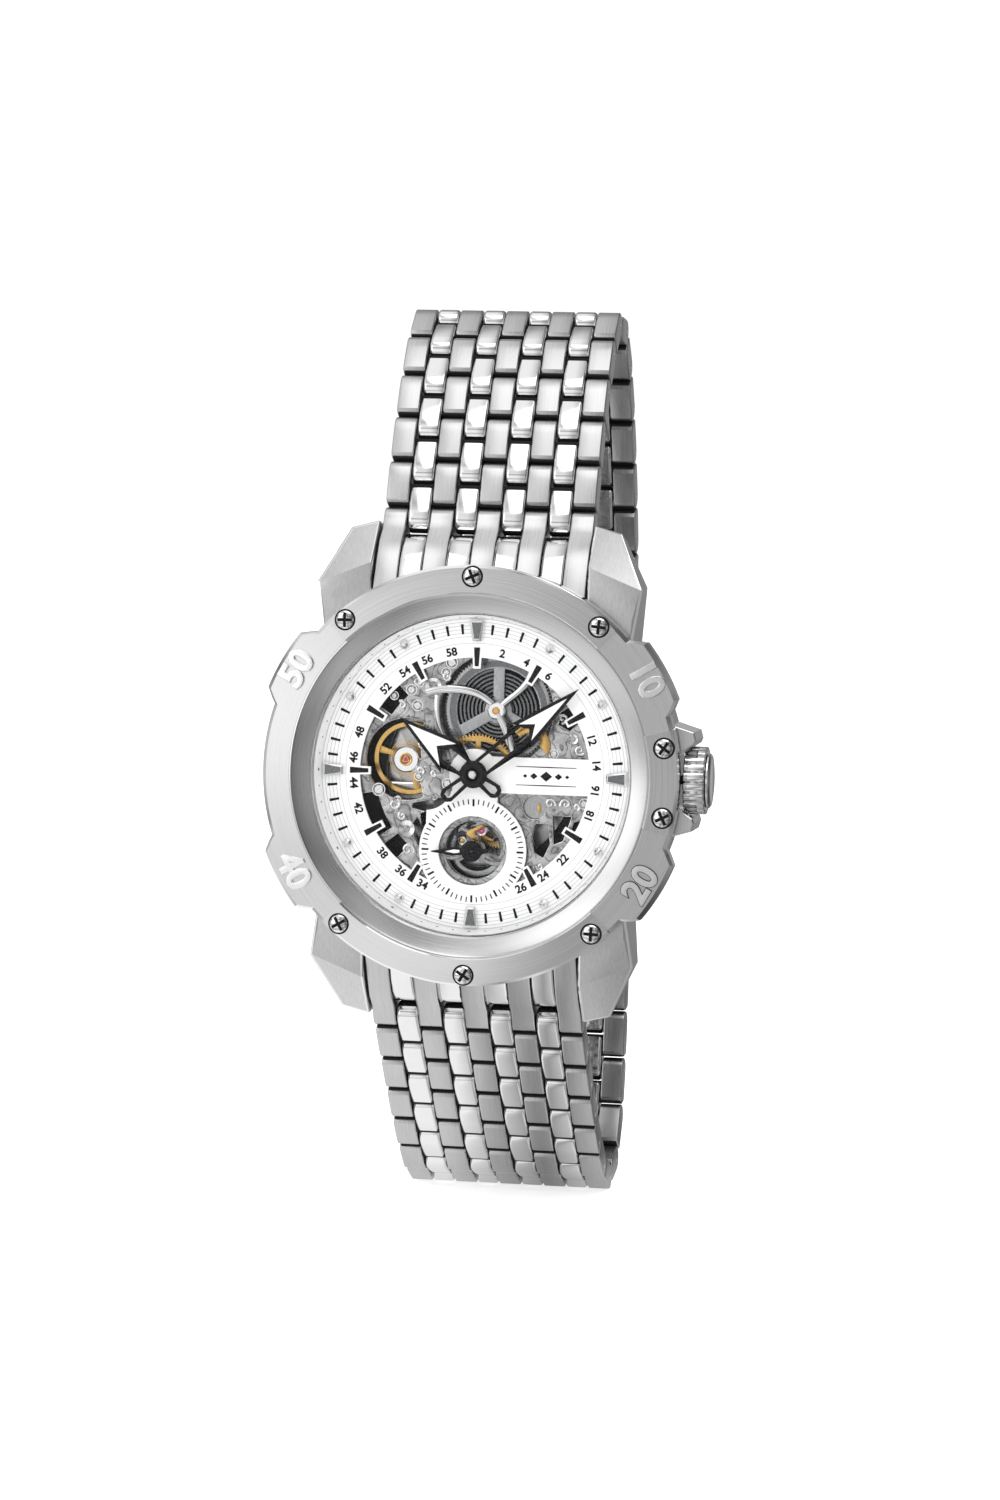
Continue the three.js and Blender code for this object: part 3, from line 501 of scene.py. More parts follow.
def lettering(text, size, low, high, place, turn, bevel=0.02, weight=0.0):
    """A raised number, its foot at low; turn is its clockwise lean in degrees."""
    type_face = bpy.data.curves.new("number", "FONT")
    type_face.body = text
    type_face.size = size
    type_face.align_x, type_face.align_y = "CENTER", "CENTER"
    type_face.extrude = (high - low) / 2 - bevel
    type_face.bevel_depth, type_face.offset = bevel, weight - bevel
    type_face.resolution_u = 4
    return at_axis(edges_marked(lifted(type_face, (low + high) / 2)), place, turn)


def lathe(profile, centre=(0, 0), steps=96):
    """A body turned about an axis through centre, from closed (radius, height) points."""
    body = bmesh.new()
    rings = []
    for radius, height in profile:
        if radius < ON_AXIS:
            rings.append([body.verts.new((*centre, height))] * steps)
        else:
            rings.append([body.verts.new((*clock(360 * k / steps, radius, centre), height))
                          for k in range(steps)])
    for first, second in zip(rings, rings[1:] + rings[:1]):
        for k in range(steps):
            corners = [first[k], first[(k + 1) % steps], second[(k + 1) % steps], second[k]]
            unique = [v for i, v in enumerate(corners) if v not in corners[:i]]
            if len(unique) > 2:
                body.faces.new(unique)
    bmesh.ops.recalc_face_normals(body, faces=body.faces)
    return finished(body)


def finished(body):
    mesh = bpy.data.meshes.new("shape")
    body.to_mesh(mesh)
    body.free()
    return mesh


def block(low, high, bevel=0.1, rounds=2):
    """A small bar between two corners, its edges rounded."""
    body = bmesh.new()
    bmesh.ops.create_cube(body, size=1)
    size = [b - a for a, b in zip(low, high)]
    middle = [(a + b) / 2 for a, b in zip(low, high)]
    bmesh.ops.scale(body, vec=size, verts=body.verts)
    bmesh.ops.translate(body, vec=middle, verts=body.verts)
    bmesh.ops.bevel(body, geom=list(body.edges), offset=bevel, segments=rounds, profile=EASE,
                    affect="EDGES")
    return finished(body)


def hull(points, bevel=0.2, rounds=2, spare=8):
    """A faceted block over a few corners, softened where its faces turn by more than the spare angle."""
    body = bmesh.new()
    for point in points:
        body.verts.new(point)
    bmesh.ops.convex_hull(body, input=body.verts)
    bmesh.ops.dissolve_limit(body, angle_limit=FLAT_TURN, verts=body.verts, edges=body.edges)
    sharp = [e for e in body.edges if e.calc_face_angle(0) > math.radians(spare)]
    bmesh.ops.bevel(body, geom=sharp, offset=bevel, segments=rounds, profile=EASE, affect="EDGES", material=1)
    bmesh.ops.recalc_face_normals(body, faces=body.faces)
    return finished(body)


def ridge_shape(points, radius, flat, taper=(1, 1)):
    """A rounded ridge along a smooth path of (x, y, z) points, flattened towards the dial."""
    path = bpy.data.curves.new("ridge", "CURVE")
    path.dimensions = "3D"
    path.bevel_depth, path.bevel_resolution, path.use_fill_caps = radius, 3, True
    spline = path.splines.new("NURBS")
    spline.points.add(len(points) - 1)
    for index, (point, co) in enumerate(zip(spline.points, points)):
        point.co = (*co, 1)
        point.radius = taper[0] + (taper[1] - taper[0]) * index / (len(points) - 1)
    spline.use_endpoint_u, spline.order_u, spline.resolution_u = True, 4, 8
    mesh = lifted(path, 0)
    middle = sum(p[2] for p in points) / len(points)
    mesh.transform(Matrix.Translation((0, 0, middle * (1 - flat))) @ Matrix.Scale(flat, 4, (0, 0, 1)))
    return mesh


def as_object(mesh):
    holder = bpy.data.objects.new("tool", mesh)
    bpy.context.scene.collection.objects.link(holder)
    return holder


def combined(mesh, others, operation):
    """The first shape with the others joined, cut away or kept inside."""
    body = as_object(mesh)
    tools = [as_object(other) for other in others]
    for tool in tools:
        change = body.modifiers.new("change", "BOOLEAN")
        change.operation, change.solver, change.object = operation, "EXACT", tool
    bpy.context.view_layer.update()
    result = bpy.data.meshes.new_from_object(body.evaluated_get(bpy.context.evaluated_depsgraph_get()))
    for holder in (body, *tools):
        bpy.data.objects.remove(holder)
    return result


def carve(mesh, tools):
    return combined(mesh, tools, "DIFFERENCE")


def keep(mesh, inside):
    return combined(mesh, [inside], "INTERSECT")


def moved(mesh, matrix):
    """A copy of a shape, carried by a matrix."""
    copy = mesh.copy()
    copy.transform(matrix)
    return copy


def at_axis(mesh, axis, turn=0.0):
    """A shape carried to an axis and turned clockwise about it."""
    return moved(mesh, Matrix.Translation((*axis, 0)) @ Matrix.Rotation(-math.radians(turn), 4, "Z"))


def tube(inner, outer, low, high, centre=(0, 0), steps=96):
    """A plain ring, or a disc where its inner radius is nothing."""
    return lathe([(inner, low), (outer, low), (outer, high), (inner, high)], centre, steps)


def assemble(name, body, parts, stands_for=(), place=FACING, crease=32):
    """One piece from several shapes, each with its finish."""
    finishes = []
    whole = bmesh.new()
    for mesh, finish in parts:
        pair = finish if isinstance(finish, tuple) else (finish, finish)
        finishes += [one for one in pair if one not in finishes]
        start = len(whole.faces)
        whole.from_mesh(mesh)
        whole.faces.ensure_lookup_table()
        for face in whole.faces[start:]:
            face.material_index = finishes.index(pair[min(face.material_index, 1)])
            face.smooth = True
    mesh = finished(whole)
    mesh.transform(place)
    mesh.name = name
    for finish in finishes:
        mesh.materials.append(finish)
    mesh.set_sharp_from_angle(angle=math.radians(crease))
    piece = bpy.data.objects.new(name, mesh)
    bpy.context.scene.collection.objects.link(piece)
    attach(piece, body)
    if stands_for:
        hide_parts(*stands_for)
    return piece


# ---------------------------------------------------------------- bracelet

PITCH = 5.5
BAND_WIDTH = (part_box("end_link_upper")[1].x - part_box("end_link_upper")[0].x) / MM
BAND_HALF = BAND_WIDTH / 2
LINK_HALF = 1.4
COLUMNS = 9
COLUMN = BAND_WIDTH / COLUMNS
NOSE = PITCH / 4
END_GAP = 0.32
SIDE_GAP = 0.12
END_SIDE_GAP = 0.08
RIB_GAP = 0.13
END_LINK_FIT = 22.35
END_LINK_INSIDE = 19.0
CHAMFER = 0.4


def column_side(start, end, crown):
    """A link column from the side: round at its pin end, crowned on top, chamfered at its tail."""
    pin, tail, way = (start + NOSE, end, 1) if start < end else (start - NOSE, end, -1)
    nose = [(pin - way * NOSE * math.sin(t), LINK_HALF * math.cos(t))
            for t in (math.pi * (0.06 + 0.88 * k / 10) for k in range(11))]
    under = [(tail - way * CHAMFER, -LINK_HALF + 0.05), (tail, -LINK_HALF + CHAMFER)]
    run = abs(tail - pin)
    over = [(tail, LINK_HALF - crown - CHAMFER), (tail - way * 0.1, LINK_HALF - crown - CHAMFER / 2)]
    over += [(tail - way * run * t, LINK_HALF - crown * (1 - t) ** 2) for t in (0.09, 0.25, 0.42, 0.6, 0.8)]
    return nose + under + over


ACROSS = Matrix(((0, 0, 1, 0), (1, 0, 0, 0), (0, 1, 0, 0), (0, 0, 0, 1)))


def column_middle(index):
    """How far a column lies from the middle of the band."""
    return (index + 0.5) * COLUMN - BAND_HALF


def column(index, start, end, soft, rounds, crown=0.12):
    """One column of a link, laid across the band."""
    width = COLUMN - SIDE_GAP
    shape = slab([column_side(start, end, crown)], -width / 2, width / 2, soft, rounds)
    return moved(shape, Matrix.Translation((column_middle(index), 0, 0)) @ ACROSS)


def pin_shape(start, end, radius=0.42, along=0.0):
    """A pin across the band, its ends eased."""
    pin = lathe([(0, start), (radius - 0.1, start), (radius, start + 0.1), (radius, end - 0.1),
                 (radius - 0.1, end), (0, end)], steps=20)
    return moved(pin, Matrix.Translation((0, along, 0)) @ ACROSS)


def link_shapes():
    """Brushed columns that reach back and polished ones that reach on, over a rib and pin painted near black
    as the shade between the links.
    """
    shoulder = NOSE + END_GAP
    parts = []
    for index in range(COLUMNS):
        if index % 2:
            parts.append((column(index, -NOSE, PITCH - shoulder, 0.38, 4, 0.36), LINK_POLISHED))
        else:
            parts.append((column(index, PITCH + NOSE, shoulder, 0.16, 3), LINK_BRUSHED))
    # The rib and the middle of the pin are painted shade.
    rib = block((-BAND_HALF + 0.2, NOSE + RIB_GAP, -1.05), (BAND_HALF - 0.2, PITCH - NOSE - RIB_GAP, 0.95))
    parts.append((rib, PAINTED_GAP_SHADE))
    parts.append((pin_shape(-BAND_HALF + 1.2, BAND_HALF - 1.2, along=PITCH), PAINTED_GAP_SHADE))
    for start, end in ((-BAND_HALF + 0.02, -BAND_HALF + 1.25), (BAND_HALF - 1.25, BAND_HALF - 0.02)):
        parts.append((pin_shape(start, end, along=PITCH), MIRROR))
    return parts


def chain_places(letter):
    """Each link's pin and slope, read from its hinge and the next one's."""
    hinges = [joint for joint in frame["joints"] if joint["name"].startswith(f"hinge_{letter}")]
    pins = [Vector(hinge["pos_m"]) for hinge in hinges]
    steps = [b - a for a, b in zip(pins, pins[1:])]
    slopes = [math.atan2(step.z, step.y) for step in steps]
    last_bend = math.radians(hinges[-1]["range_deg"][1])
    slopes.append(slopes[-1] - last_bend * (1 if letter == "u" else -1))
    return list(zip(pins, slopes))


def along_link(pin, slope, flip):
    """Link axes to the row frame: width, along the bracelet, outward."""
    turn = Matrix.Rotation(slope, 4, "X")
    if flip:
        turn = turn @ Matrix.Rotation(math.pi, 4, "Y")
    return Matrix.Translation(pin) @ turn @ Matrix.Scale(MM, 4)


def bracelet():
    """Every link of both halves, at its own pin and slope."""
    parts = link_shapes()
    for letter in "ul":
        for number, (pin, slope) in enumerate(chain_places(letter), 1):
            name = f"link_{letter}{number:02d}"
            assemble(f"comb_{name}", name, parts, [name],
                     along_link(pin, slope, letter == "l"))


def end_column(index, reach, depth):
    """One end-link column from the side: it falls from the case to its end at the first pin."""
    edge = abs(column_middle(index)) + COLUMN / 2
    inner = math.sqrt(max(END_LINK_FIT ** 2 - edge ** 2, 0)) - 0.3
    top = [(inner, 9.75), (reach - 6.4, 8.9), (reach - 4.2, 7.7)]
    if index % 2:
        end = reach - NOSE - END_GAP
        return top + [(end - 1.0, depth + 4.1), (end - 0.2, depth + 2.9), (end, depth + 2.4),
                      (end, depth + 0.2), (end - 0.6, depth - 0.8), (inner, 2.4)]
    nose = [(reach + LINK_HALF * math.sin(t), depth + LINK_HALF * math.cos(t))
            for t in (math.radians(20 + 16 * k) for k in range(10))]
    return top + [(reach - 2.2, depth + 3.9), (reach - 0.9, depth + 2.2)] + nose + [
        (reach - 1.4, depth - 1.25), (inner, 2.4)]


def end_links():
    """Each end link: five long brushed columns and four short polished ones that fill the lugs."""
    wide = BAND_HALF - 0.3
    width = COLUMN - END_SIDE_GAP
    for name, letter, way in (("end_link_upper", "u", 1), ("end_link_lower", "l", -1)):
        pin, _ = chain_places(letter)[0]
        reach, depth = abs(pin.z) / MM, -pin.y / MM
        parts = []
        for index in range(COLUMNS):
            finish, soft = (LINK_POLISHED, 0.3) if index % 2 else (LINK_BRUSHED, 0.14)
            shape = slab([end_column(index, reach, depth)], -width / 2, width / 2, soft, 3)
            placed = Matrix.Translation((column_middle(index), 0, 0)) @ ACROSS
            if way < 0:
                placed = Matrix.Rotation(math.pi, 4, "Z") @ placed
            parts.append((moved(shape, placed), finish))
        # The blocks inside the end link and its pin are painted near black as shade.
        for near, far, foot, head, soft in ((END_LINK_INSIDE, reach - 3.4, 2.9, 6.8, 0.2),
                                            (reach - 3.6, reach - NOSE - RIB_GAP, 1.6, depth + 1.3, 0.1)):
            low, high = sorted((way * near, way * far))
            parts.append((block((-wide, low, foot), (wide, high, head), soft), PAINTED_GAP_SHADE))
        pin_mesh = pin_shape(-BAND_HALF + 0.4, BAND_HALF - 0.4)
        parts.append((moved(pin_mesh, Matrix.Translation((0, way * reach, depth))), PAINTED_GAP_SHADE))
        assemble(name + "_columns", "root", parts, [name])


# ---------------------------------------------------------------- case and bezel

CASE_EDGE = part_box("bezel")[1].z / MM - 0.5
CASE_LOW, CASE_TOP = 1.0, 10.2
BORE = 17.4
FUNNEL_EDGE = 19.65
BEZEL_EDGE = CASE_EDGE + 0.5
BEZEL_LOW = BEZEL_FRONT - 0.4
RAISED_STEPS = ((-44, 44), (75.5, 104.5), (136, 224))
SCREW_ANGLES = (0, 40, 80, 100, 140, 180, 220, 320)
SCREW_CIRCLE = 21.5
SCREW_RADIUS = 1.0
SLOT_REACH, SLOT_HALF = 0.8, 0.17
FIRST_SLOT_TURN, SLOT_TURN = 23, 61
TABS = {60: "10", 120: "20", 240: "40", 300: "50"}
STEP_CHAMFER, RING_CHAMFER = 0.26, 0.42
TAB_TURNS = (8.2, 10.7, 11.5)
TAB_REACH = (1.3, 0.35)
BEZEL_SLOPE = 0.11
NUMERAL_SIZE = 3.9
LUG_INSIDE = BAND_HALF + 0.15
LUG_WIDEST = LUG_INSIDE + 6.0
LUG_TOP = 9.85
LUG_FOOT = 0.8
LUG_TIP = 27.2
GUARD_PLAN = ((18.0, 2.45), (22.0, 2.45), (22.45, 2.9), (24.0, 3.95), (24.2, 4.45), (23.95, 5.35),
              (21.5, 6.1), (18.0, 8.45))
CROWN_LOW, CROWN_HIGH = [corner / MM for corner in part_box("crown")]
CROWN_DEPTH = -(CROWN_LOW.y + CROWN_HIGH.y) / 2
CROWN_RADIUS = (CROWN_HIGH.z - CROWN_LOW.z) / 2
CROWN_CLEARANCE = 0.25


def lug(side, end):
    """A lug of two brushed facets that meet at a crease, its arrises polished."""
    corners = [
        (LUG_INSIDE, 14, LUG_TOP), (LUG_WIDEST - 1, 14, LUG_TOP), (LUG_WIDEST - 1.0, 17.2, LUG_TOP - 0.15),
        (LUG_INSIDE, 22.7, LUG_TOP - 0.9), (LUG_WIDEST, 20.5, LUG_TOP - 0.9),
        (LUG_INSIDE, LUG_TIP, 4.5), (LUG_WIDEST - 2.9, LUG_TIP - 0.8, 4.8),
        (LUG_INSIDE, 14, LUG_FOOT), (LUG_WIDEST - 1, 14, LUG_FOOT), (LUG_WIDEST - 0.4, 20.5, LUG_FOOT + 0.8),
        (LUG_WIDEST - 3.1, LUG_TIP - 1.4, LUG_FOOT), (LUG_INSIDE, LUG_TIP - 0.6, LUG_FOOT),
    ]
    return hull([(x * side, y * end, z) for x, y, z in corners], 0.28, 3, 34)


def crown_guard(end):
    """A horn that shields one side of the crown, hollowed to clear it."""
    plan = [(x, y * end) for x, y in GUARD_PLAN]
    horn = slab([plan if end > 0 else plan[::-1]], 3.0, 9.8, 0.22, 3)
    hollow = tube(0, CROWN_RADIUS + CROWN_CLEARANCE, CASE_EDGE, 27, steps=72)
    return edges_marked(carve(horn, [moved(hollow, along_stem(0, CROWN_DEPTH))]))


def along_stem(start, depth):
    """Turned shapes to the crown's axis."""
    return Matrix(((0, 0, 1, start), (1, 0, 0, 0), (0, 1, 0, depth), (0, 0, 0, 1)))


def case():
    """The case band with its lugs and crown guards."""
    shell = lathe([(BORE, CASE_LOW), (CASE_EDGE - 2, CASE_LOW), (CASE_EDGE - 0.3, 2.7), (CASE_EDGE, 3.1),
                   (CASE_EDGE, CASE_TOP - 0.3), (CASE_EDGE - 0.25, CASE_TOP), (BORE, CASE_TOP)], steps=160)
    parts = [(shell, CASE_BRUSHED)]
    for side in (1, -1):
        parts.append((crown_guard(side), (CASE_BRUSHED, MIRROR)))
        for end in (1, -1):
            parts.append((lug(side, end), (CASE_BRUSHED, MIRROR)))
    assemble("case_with_lugs", "root", parts, ["case_middle"], crease=9)


def bezel_edge(angle):
    """The bezel's radius at a clock angle: it steps out over each numbered tab."""
    away = min(abs((angle - tab + 180) % 360 - 180) for tab in TABS)
    flat, shoulder, foot = TAB_TURNS
    full, low = TAB_REACH
    for start, end, near, far in ((0, flat, full, full), (flat, shoulder, full, low),
                                  (shoulder, foot, low, 0.0)):
        if away <= end:
            return BEZEL_EDGE + near + (far - near) * (away - start) / (end - start)
    return BEZEL_EDGE - 0.05


def step_edge(_):
    """The raised steps keep one radius."""
    return BEZEL_EDGE - 0.1


def bezel_level(radius, top):
    """The bezel falls away a little towards its edge."""
    return top - BEZEL_SLOPE * (radius - FUNNEL_EDGE)


def bezel_band(angles, edge, inside, low, top, chamfer):
    """A stretch of the bezel: a sloped face with a polished chamfer along its edge."""
    body = bmesh.new()
    rows = []
    for angle in angles:
        reach = edge(angle)
        rim, face = bezel_level(reach, top), bezel_level(inside, top)
        profile = [(inside, low), (inside, face - 0.08), (inside + 0.08, face),
                   (reach - chamfer, bezel_level(reach - chamfer, top)),
                   (reach - 0.06, rim - chamfer * 0.8), (reach, rim - chamfer), (reach, low)]
        rows.append([body.verts.new((*clock(angle, radius), height)) for radius, height in profile])
    whole = angles[-1] - angles[0] > 359
    if whole:
        rows[-1] = rows[0]
    for first, second in zip(rows, rows[1:]):
        for k in range(len(first)):
            after = (k + 1) % len(first)
            face = body.faces.new((first[k], first[after], second[after], second[k]))
            face.material_index = 0 if k == 2 else 1
    if not whole:
        for row in (rows[0], rows[-1]):
            body.faces.new(row).material_index = 1
    loose = [v for v in body.verts if not v.link_faces]
    bmesh.ops.delete(body, geom=loose, context="VERTS")
    bmesh.ops.recalc_face_normals(body, faces=body.faces)
    return finished(body)


def bezel_screw(angle, index):
    """A domed screw with a crossed slot, in a ring and over a slot floor painted near black as the shade of
    its recess.
    """
    place = clock(angle, SCREW_CIRCLE)
    top = BEZEL_FRONT + 0.12
    radius = SCREW_RADIUS
    dome = lathe([(0, top), (radius * 0.45, top - 0.03), (radius * 0.8, top - 0.12),
                  (radius - 0.03, top - 0.26), (radius, top - 0.36), (radius, top - 0.9), (0, top - 0.9)],
                 steps=48)
    screw_shade_ring = lathe([(0, top - 0.42), (radius + 0.16, top - 0.42), (radius + 0.16, top - 0.9), (0, top - 0.9)],
                place, 40)
    slots = [block((-x, -y, top - 0.34), (x, y, top + 0.2), 0.02, 1)
             for x, y in ((SLOT_REACH, SLOT_HALF), (SLOT_HALF, SLOT_REACH))]
    head = at_axis(carve(dome, slots), place, -FIRST_SLOT_TURN - index * SLOT_TURN)
    floor = lathe([(0, top - 0.33), (0.85, top - 0.33), (0.85, top - 0.5), (0, top - 0.5)], place, 24)
    return [(head, FACETED), (screw_shade_ring, PAINTED_GAP_SHADE), (floor, PAINTED_GAP_SHADE)]


def screw_holes(start=-180, end=540):
    """Cutters for the screws that lie in a stretch of the bezel."""
    inside = [angle for angle in SCREW_ANGLES if start < angle < end or start < angle - 360 < end]
    holes = [circle(SCREW_RADIUS + 0.17, clock(angle, SCREW_CIRCLE), 40) for angle in inside]
    return [slab([hole], BEZEL_BACK - 1, BEZEL_FRONT + 1, 0) for hole in holes]


def bezel():
    """The scalloped ring, its three raised steps, the funnel, the numbered tabs and the screws."""
    turns = (*TAB_TURNS, TAB_TURNS[-1] + 0.1)
    corners = [tab + way * turn for tab in TABS for way in (-1, 1) for turn in turns]
    angles = sorted({*range(0, 361, 2), *corners})
    ring = bezel_band(angles, bezel_edge, FUNNEL_EDGE, BEZEL_BACK, BEZEL_LOW, RING_CHAMFER)
    parts = [(carve(ring, screw_holes()), (BEZEL_FACE, MIRROR))]
    for start, end in RAISED_STEPS:
        count = round((end - start) / 2)
        step = bezel_band([start + (end - start) * k / count for k in range(count + 1)],
                          step_edge, FUNNEL_EDGE + 0.08, BEZEL_LOW - 0.9, BEZEL_FRONT, STEP_CHAMFER)
        parts.append((carve(step, screw_holes(start, end)), (STEP_FACE, MIRROR)))
    funnel = lathe([(BORE + 0.06, BEZEL_BACK), (BORE + 0.06, 12.2), (BORE + 0.25, 12.38),
                    (FUNNEL_EDGE - 0.3, BEZEL_LOW - 0.12), (FUNNEL_EDGE - 0.1, BEZEL_LOW + 0.02),
                    (FUNNEL_EDGE + 0.05, BEZEL_LOW - 0.02), (FUNNEL_EDGE + 0.05, BEZEL_BACK)], steps=180)
    parts.append((funnel, FUNNEL))
    middle = (BEZEL_EDGE + TAB_REACH[0] + FUNNEL_EDGE) / 2 + 0.1
    lie = (Matrix.Translation((0, middle, bezel_level(middle, BEZEL_LOW)))
           @ Matrix.Rotation(-BEZEL_SLOPE, 4, "X"))
    for tab, number in TABS.items():
        upright = 0 if number in ("10", "50") else 180
        figure = lettering(number, NUMERAL_SIZE, -0.2, 0.24, CENTRE, upright, 0.11, 0.2)
        placed = at_axis(moved(figure, lie), CENTRE, tab)
        # The sides of the 20 are dark spring steel as painted shade; the other numerals have mirror sides.
        parts.append((placed, (NUMERAL, SPRING if number == "20" else MIRROR)))
    assemble("bezel_ring", "root", parts, ["bezel"], crease=24)
    screws = []
    for index, angle in enumerate(SCREW_ANGLES):
        screws += bezel_screw(angle, index)
    assemble("bezel_screws", "root", screws)


# ---------------------------------------------------------------- dial

APERTURE = 12.65
SECONDS_AXIS = (0, -8.35)
SECONDS_RING = 5.9
SECONDS_OPENING = 3.77
PRINT_LOW = DIAL_FRONT - 0.05
PRINT_TOP = DIAL_FRONT + 0.025
LEAF_STEP = 0.003
BAND_EDGE = 1.98
DIAL_NUMBERS = (2, 4, 6, 12, 14, 16, 18, 22, 24, 26, 34, 36, 38, 42, 44, 46, 48, 52, 54, 56, 58)
NUMBERS_INWARD = range(16, 45)
NUMBER_CIRCLE = 13.4
NUMBER_SIZE = 1.22
STUD_CIRCLE = 15.95
TRACK_LINES = (14.2, 14.9, 15.3, 15.7, 16.1, 16.5, 16.85)


def mark(angle, start, end, first, last, centre=(0, 0)):
    """A tapered radial stroke, its widths given at both ends."""
    turn = math.radians(angle)
    out = Vector((math.sin(turn), math.cos(turn)))
    aside = Vector((out.y, -out.x))
    origin = Vector(centre)
    corners = (out * start - aside * first / 2, out * end - aside * last / 2,
               out * end + aside * last / 2, out * start + aside * first / 2)
    return [tuple(origin + corner) for corner in corners]


HOUR_BARS = [30 * hour for hour in (0, 1, 2, 4, 5, 7, 8, 9, 10, 11)]


def dial():
    """The skeleton dial: its rim, centre, band and small seconds ring, with bars that reach inside."""
    low, high = DIAL_BACK, DIAL_FRONT
    neck = [(2.6, -1.45), (2.6, -3.2), *arc(28, -62, 4.7, SECONDS_AXIS), (-5.2, -5.7),
            *arc(176, 98, 3.1, (-5.4, -1.0)), (-2.2, -1.45)]
    band = [(1.6, BAND_EDGE), (APERTURE + 0.4, BAND_EDGE), (APERTURE + 0.4, -BAND_EDGE), (1.6, -BAND_EDGE)]
    leaves = [slab([circle(BORE - 0.25, steps=160), circle(APERTURE, steps=128)], low, high, 0.05),
              slab([circle(SECONDS_RING, SECONDS_AXIS, 96), circle(SECONDS_OPENING, SECONDS_AXIS, 96)],
                   low, high - LEAF_STEP, 0.05),
              slab([neck[::-1]], low, high - 2 * LEAF_STEP, 0.05),
              slab([circle(2.75, steps=64), circle(1.35, steps=40)], low, high - 3 * LEAF_STEP, 0.05),
              slab([band], low, high - 4 * LEAF_STEP, 0.05)]
    leaves += [slab([mark(angle, 11.45, 13.4, 0.85, 1.0)], low, high - LEAF_STEP, 0.04)
               for angle in HOUR_BARS]
    assemble("dial_plate", "root", [(leaf, WHITE) for leaf in leaves], ["dial"], crease=40)

    marks = [mark(angle, 11.7, 13.75, 0.44, 0.68) for angle in HOUR_BARS]
    marks += [mark(6 * k, 15.2, 16.3, 0.24, 0.3) for k in range(60) if k % 5]
    for k in range(60):
        start, width = (5.05, 0.12) if k % 5 else (4.85, 0.22)
        marks.append(mark(6 * k, start, 5.62, width, width, SECONDS_AXIS))
    printed = [(prisms(marks, PRINT_LOW, PRINT_TOP), PRINT)]
    for number in DIAL_NUMBERS:
        turn = 6 * number + (180 if number in NUMBERS_INWARD else 0)
        figure = lettering(str(number), NUMBER_SIZE, PRINT_LOW, PRINT_TOP, clock(6 * number, NUMBER_CIRCLE),
                           turn, 0, 0.04)
        printed.append((figure, PRINT))
    for radius in TRACK_LINES:
        line = tube(radius - 0.02, radius + 0.02, PRINT_LOW, PRINT_TOP - 0.012, steps=180)
        printed.append((line, GREY_LINE))
    printed.append((band_ornament(), PRINT))
    assemble("dial_print", "root", printed)


def band_ornament():
    """Two plain tapered rules with a row of lozenges between them on the dial's band."""
    middle, reach = 7.9, 3.3
    rules = [[(middle - reach, y + 0.03), (middle, y + 0.06), (middle + reach, y + 0.03),
              (middle + reach, y - 0.03), (middle, y - 0.06), (middle - reach, y - 0.03)]
             for y in (1.0, -1.0)]
    lozenges = [[(middle + x, half), (middle + x + half * 1.2, 0), (middle + x, -half),
                 (middle + x - half * 1.2, 0)]
                for x, half in ((0, 0.55), (-1.35, 0.34), (1.35, 0.34), (-2.3, 0.2), (2.3, 0.2))]
    return prisms(rules + lozenges, PRINT_LOW, PRINT_TOP)


def hour_markers():
    """Four framed wedges, and a faceted stud at each other hour."""
    parts = []
    for angle in (0, 90, 180, 270):
        corners = mark(angle, 14.45, 16.7, 1.0, 1.62)
        inner = mark(angle, 14.62, 16.55, 0.62, 1.2)
        body = hull([(x, y, DIAL_FRONT + 0.02) for x, y in corners] +
                    [(x, y, DIAL_FRONT + 0.34) for x, y in corners] +
                    [(x, y, DIAL_FRONT + 0.5) for x, y in inner], 0.03, 2)
        cap = prisms([mark(angle, 14.7, 16.47, 0.56, 1.12)], DIAL_FRONT + 0.4, DIAL_FRONT + 0.52)
        parts += [(body, MIRROR), (cap, RHODIUM_DARK)]
    for hour in range(12):
        if hour % 3:
            place = clock(30 * hour, STUD_CIRCLE)
            stud = lathe([(0, 0.52), (0.2, 0.5), (0.44, 0.3), (0.55, 0.1), (0.55, 0.0), (0, 0.0)], steps=9)
            parts.append((moved(stud, Matrix.Translation((*place, DIAL_FRONT))), FACETED))
    assemble("hour_markers", "root", parts, crease=12)


def minute_ring():
    """The white ring between dial and crystal, with a dot at each minute."""
    low, high = depth_span("flange_ring")
    foot, head = BORE - 0.48, BORE - 0.2
    ring = lathe([(foot, low), (BORE - 0.05, low), (BORE - 0.05, high), (head, high)], steps=180)
    parts = [(ring, WHITE)]
    share = 0.45
    radius, height = foot + (head - foot) * share, low + (high - low) * share
    lie = Matrix.Translation((0, radius, height)) @ Matrix.Rotation(math.radians(82), 4, "X")
    for minute in range(60):
        size = 0.11 if minute % 5 else 0.17
        dot = lathe([(0, 0.03), (size, 0.015), (size, -0.05), (0, -0.05)], steps=10)
        parts.append((at_axis(moved(dot, lie), CENTRE, 6 * minute), PRINT))
    assemble("minute_ring", "root", parts, ["flange_ring"])


# ---------------------------------------------------------------- hands

HAND_WALL = 0.42
# length, notch, corner, half width, rail, tail, hub and pin
HOUR_SHAPE = (10.2, 4.7, 2.9, 2.05, 1.2, 3.6, 1.5, 1.2)
MINUTE_SHAPE = (15.0, 8.5, 6.8, 1.68, 1.15, 4.2, 1.35, 0.8)
HOUR_ANGLE, MINUTE_ANGLE, SECONDS_ANGLE = 305.9, 49.8, 268


def both_sides(right):
    """An outline from its right half, which starts and ends off the middle line."""
    return right + [(-x, y) for x, y in right[::-1]]


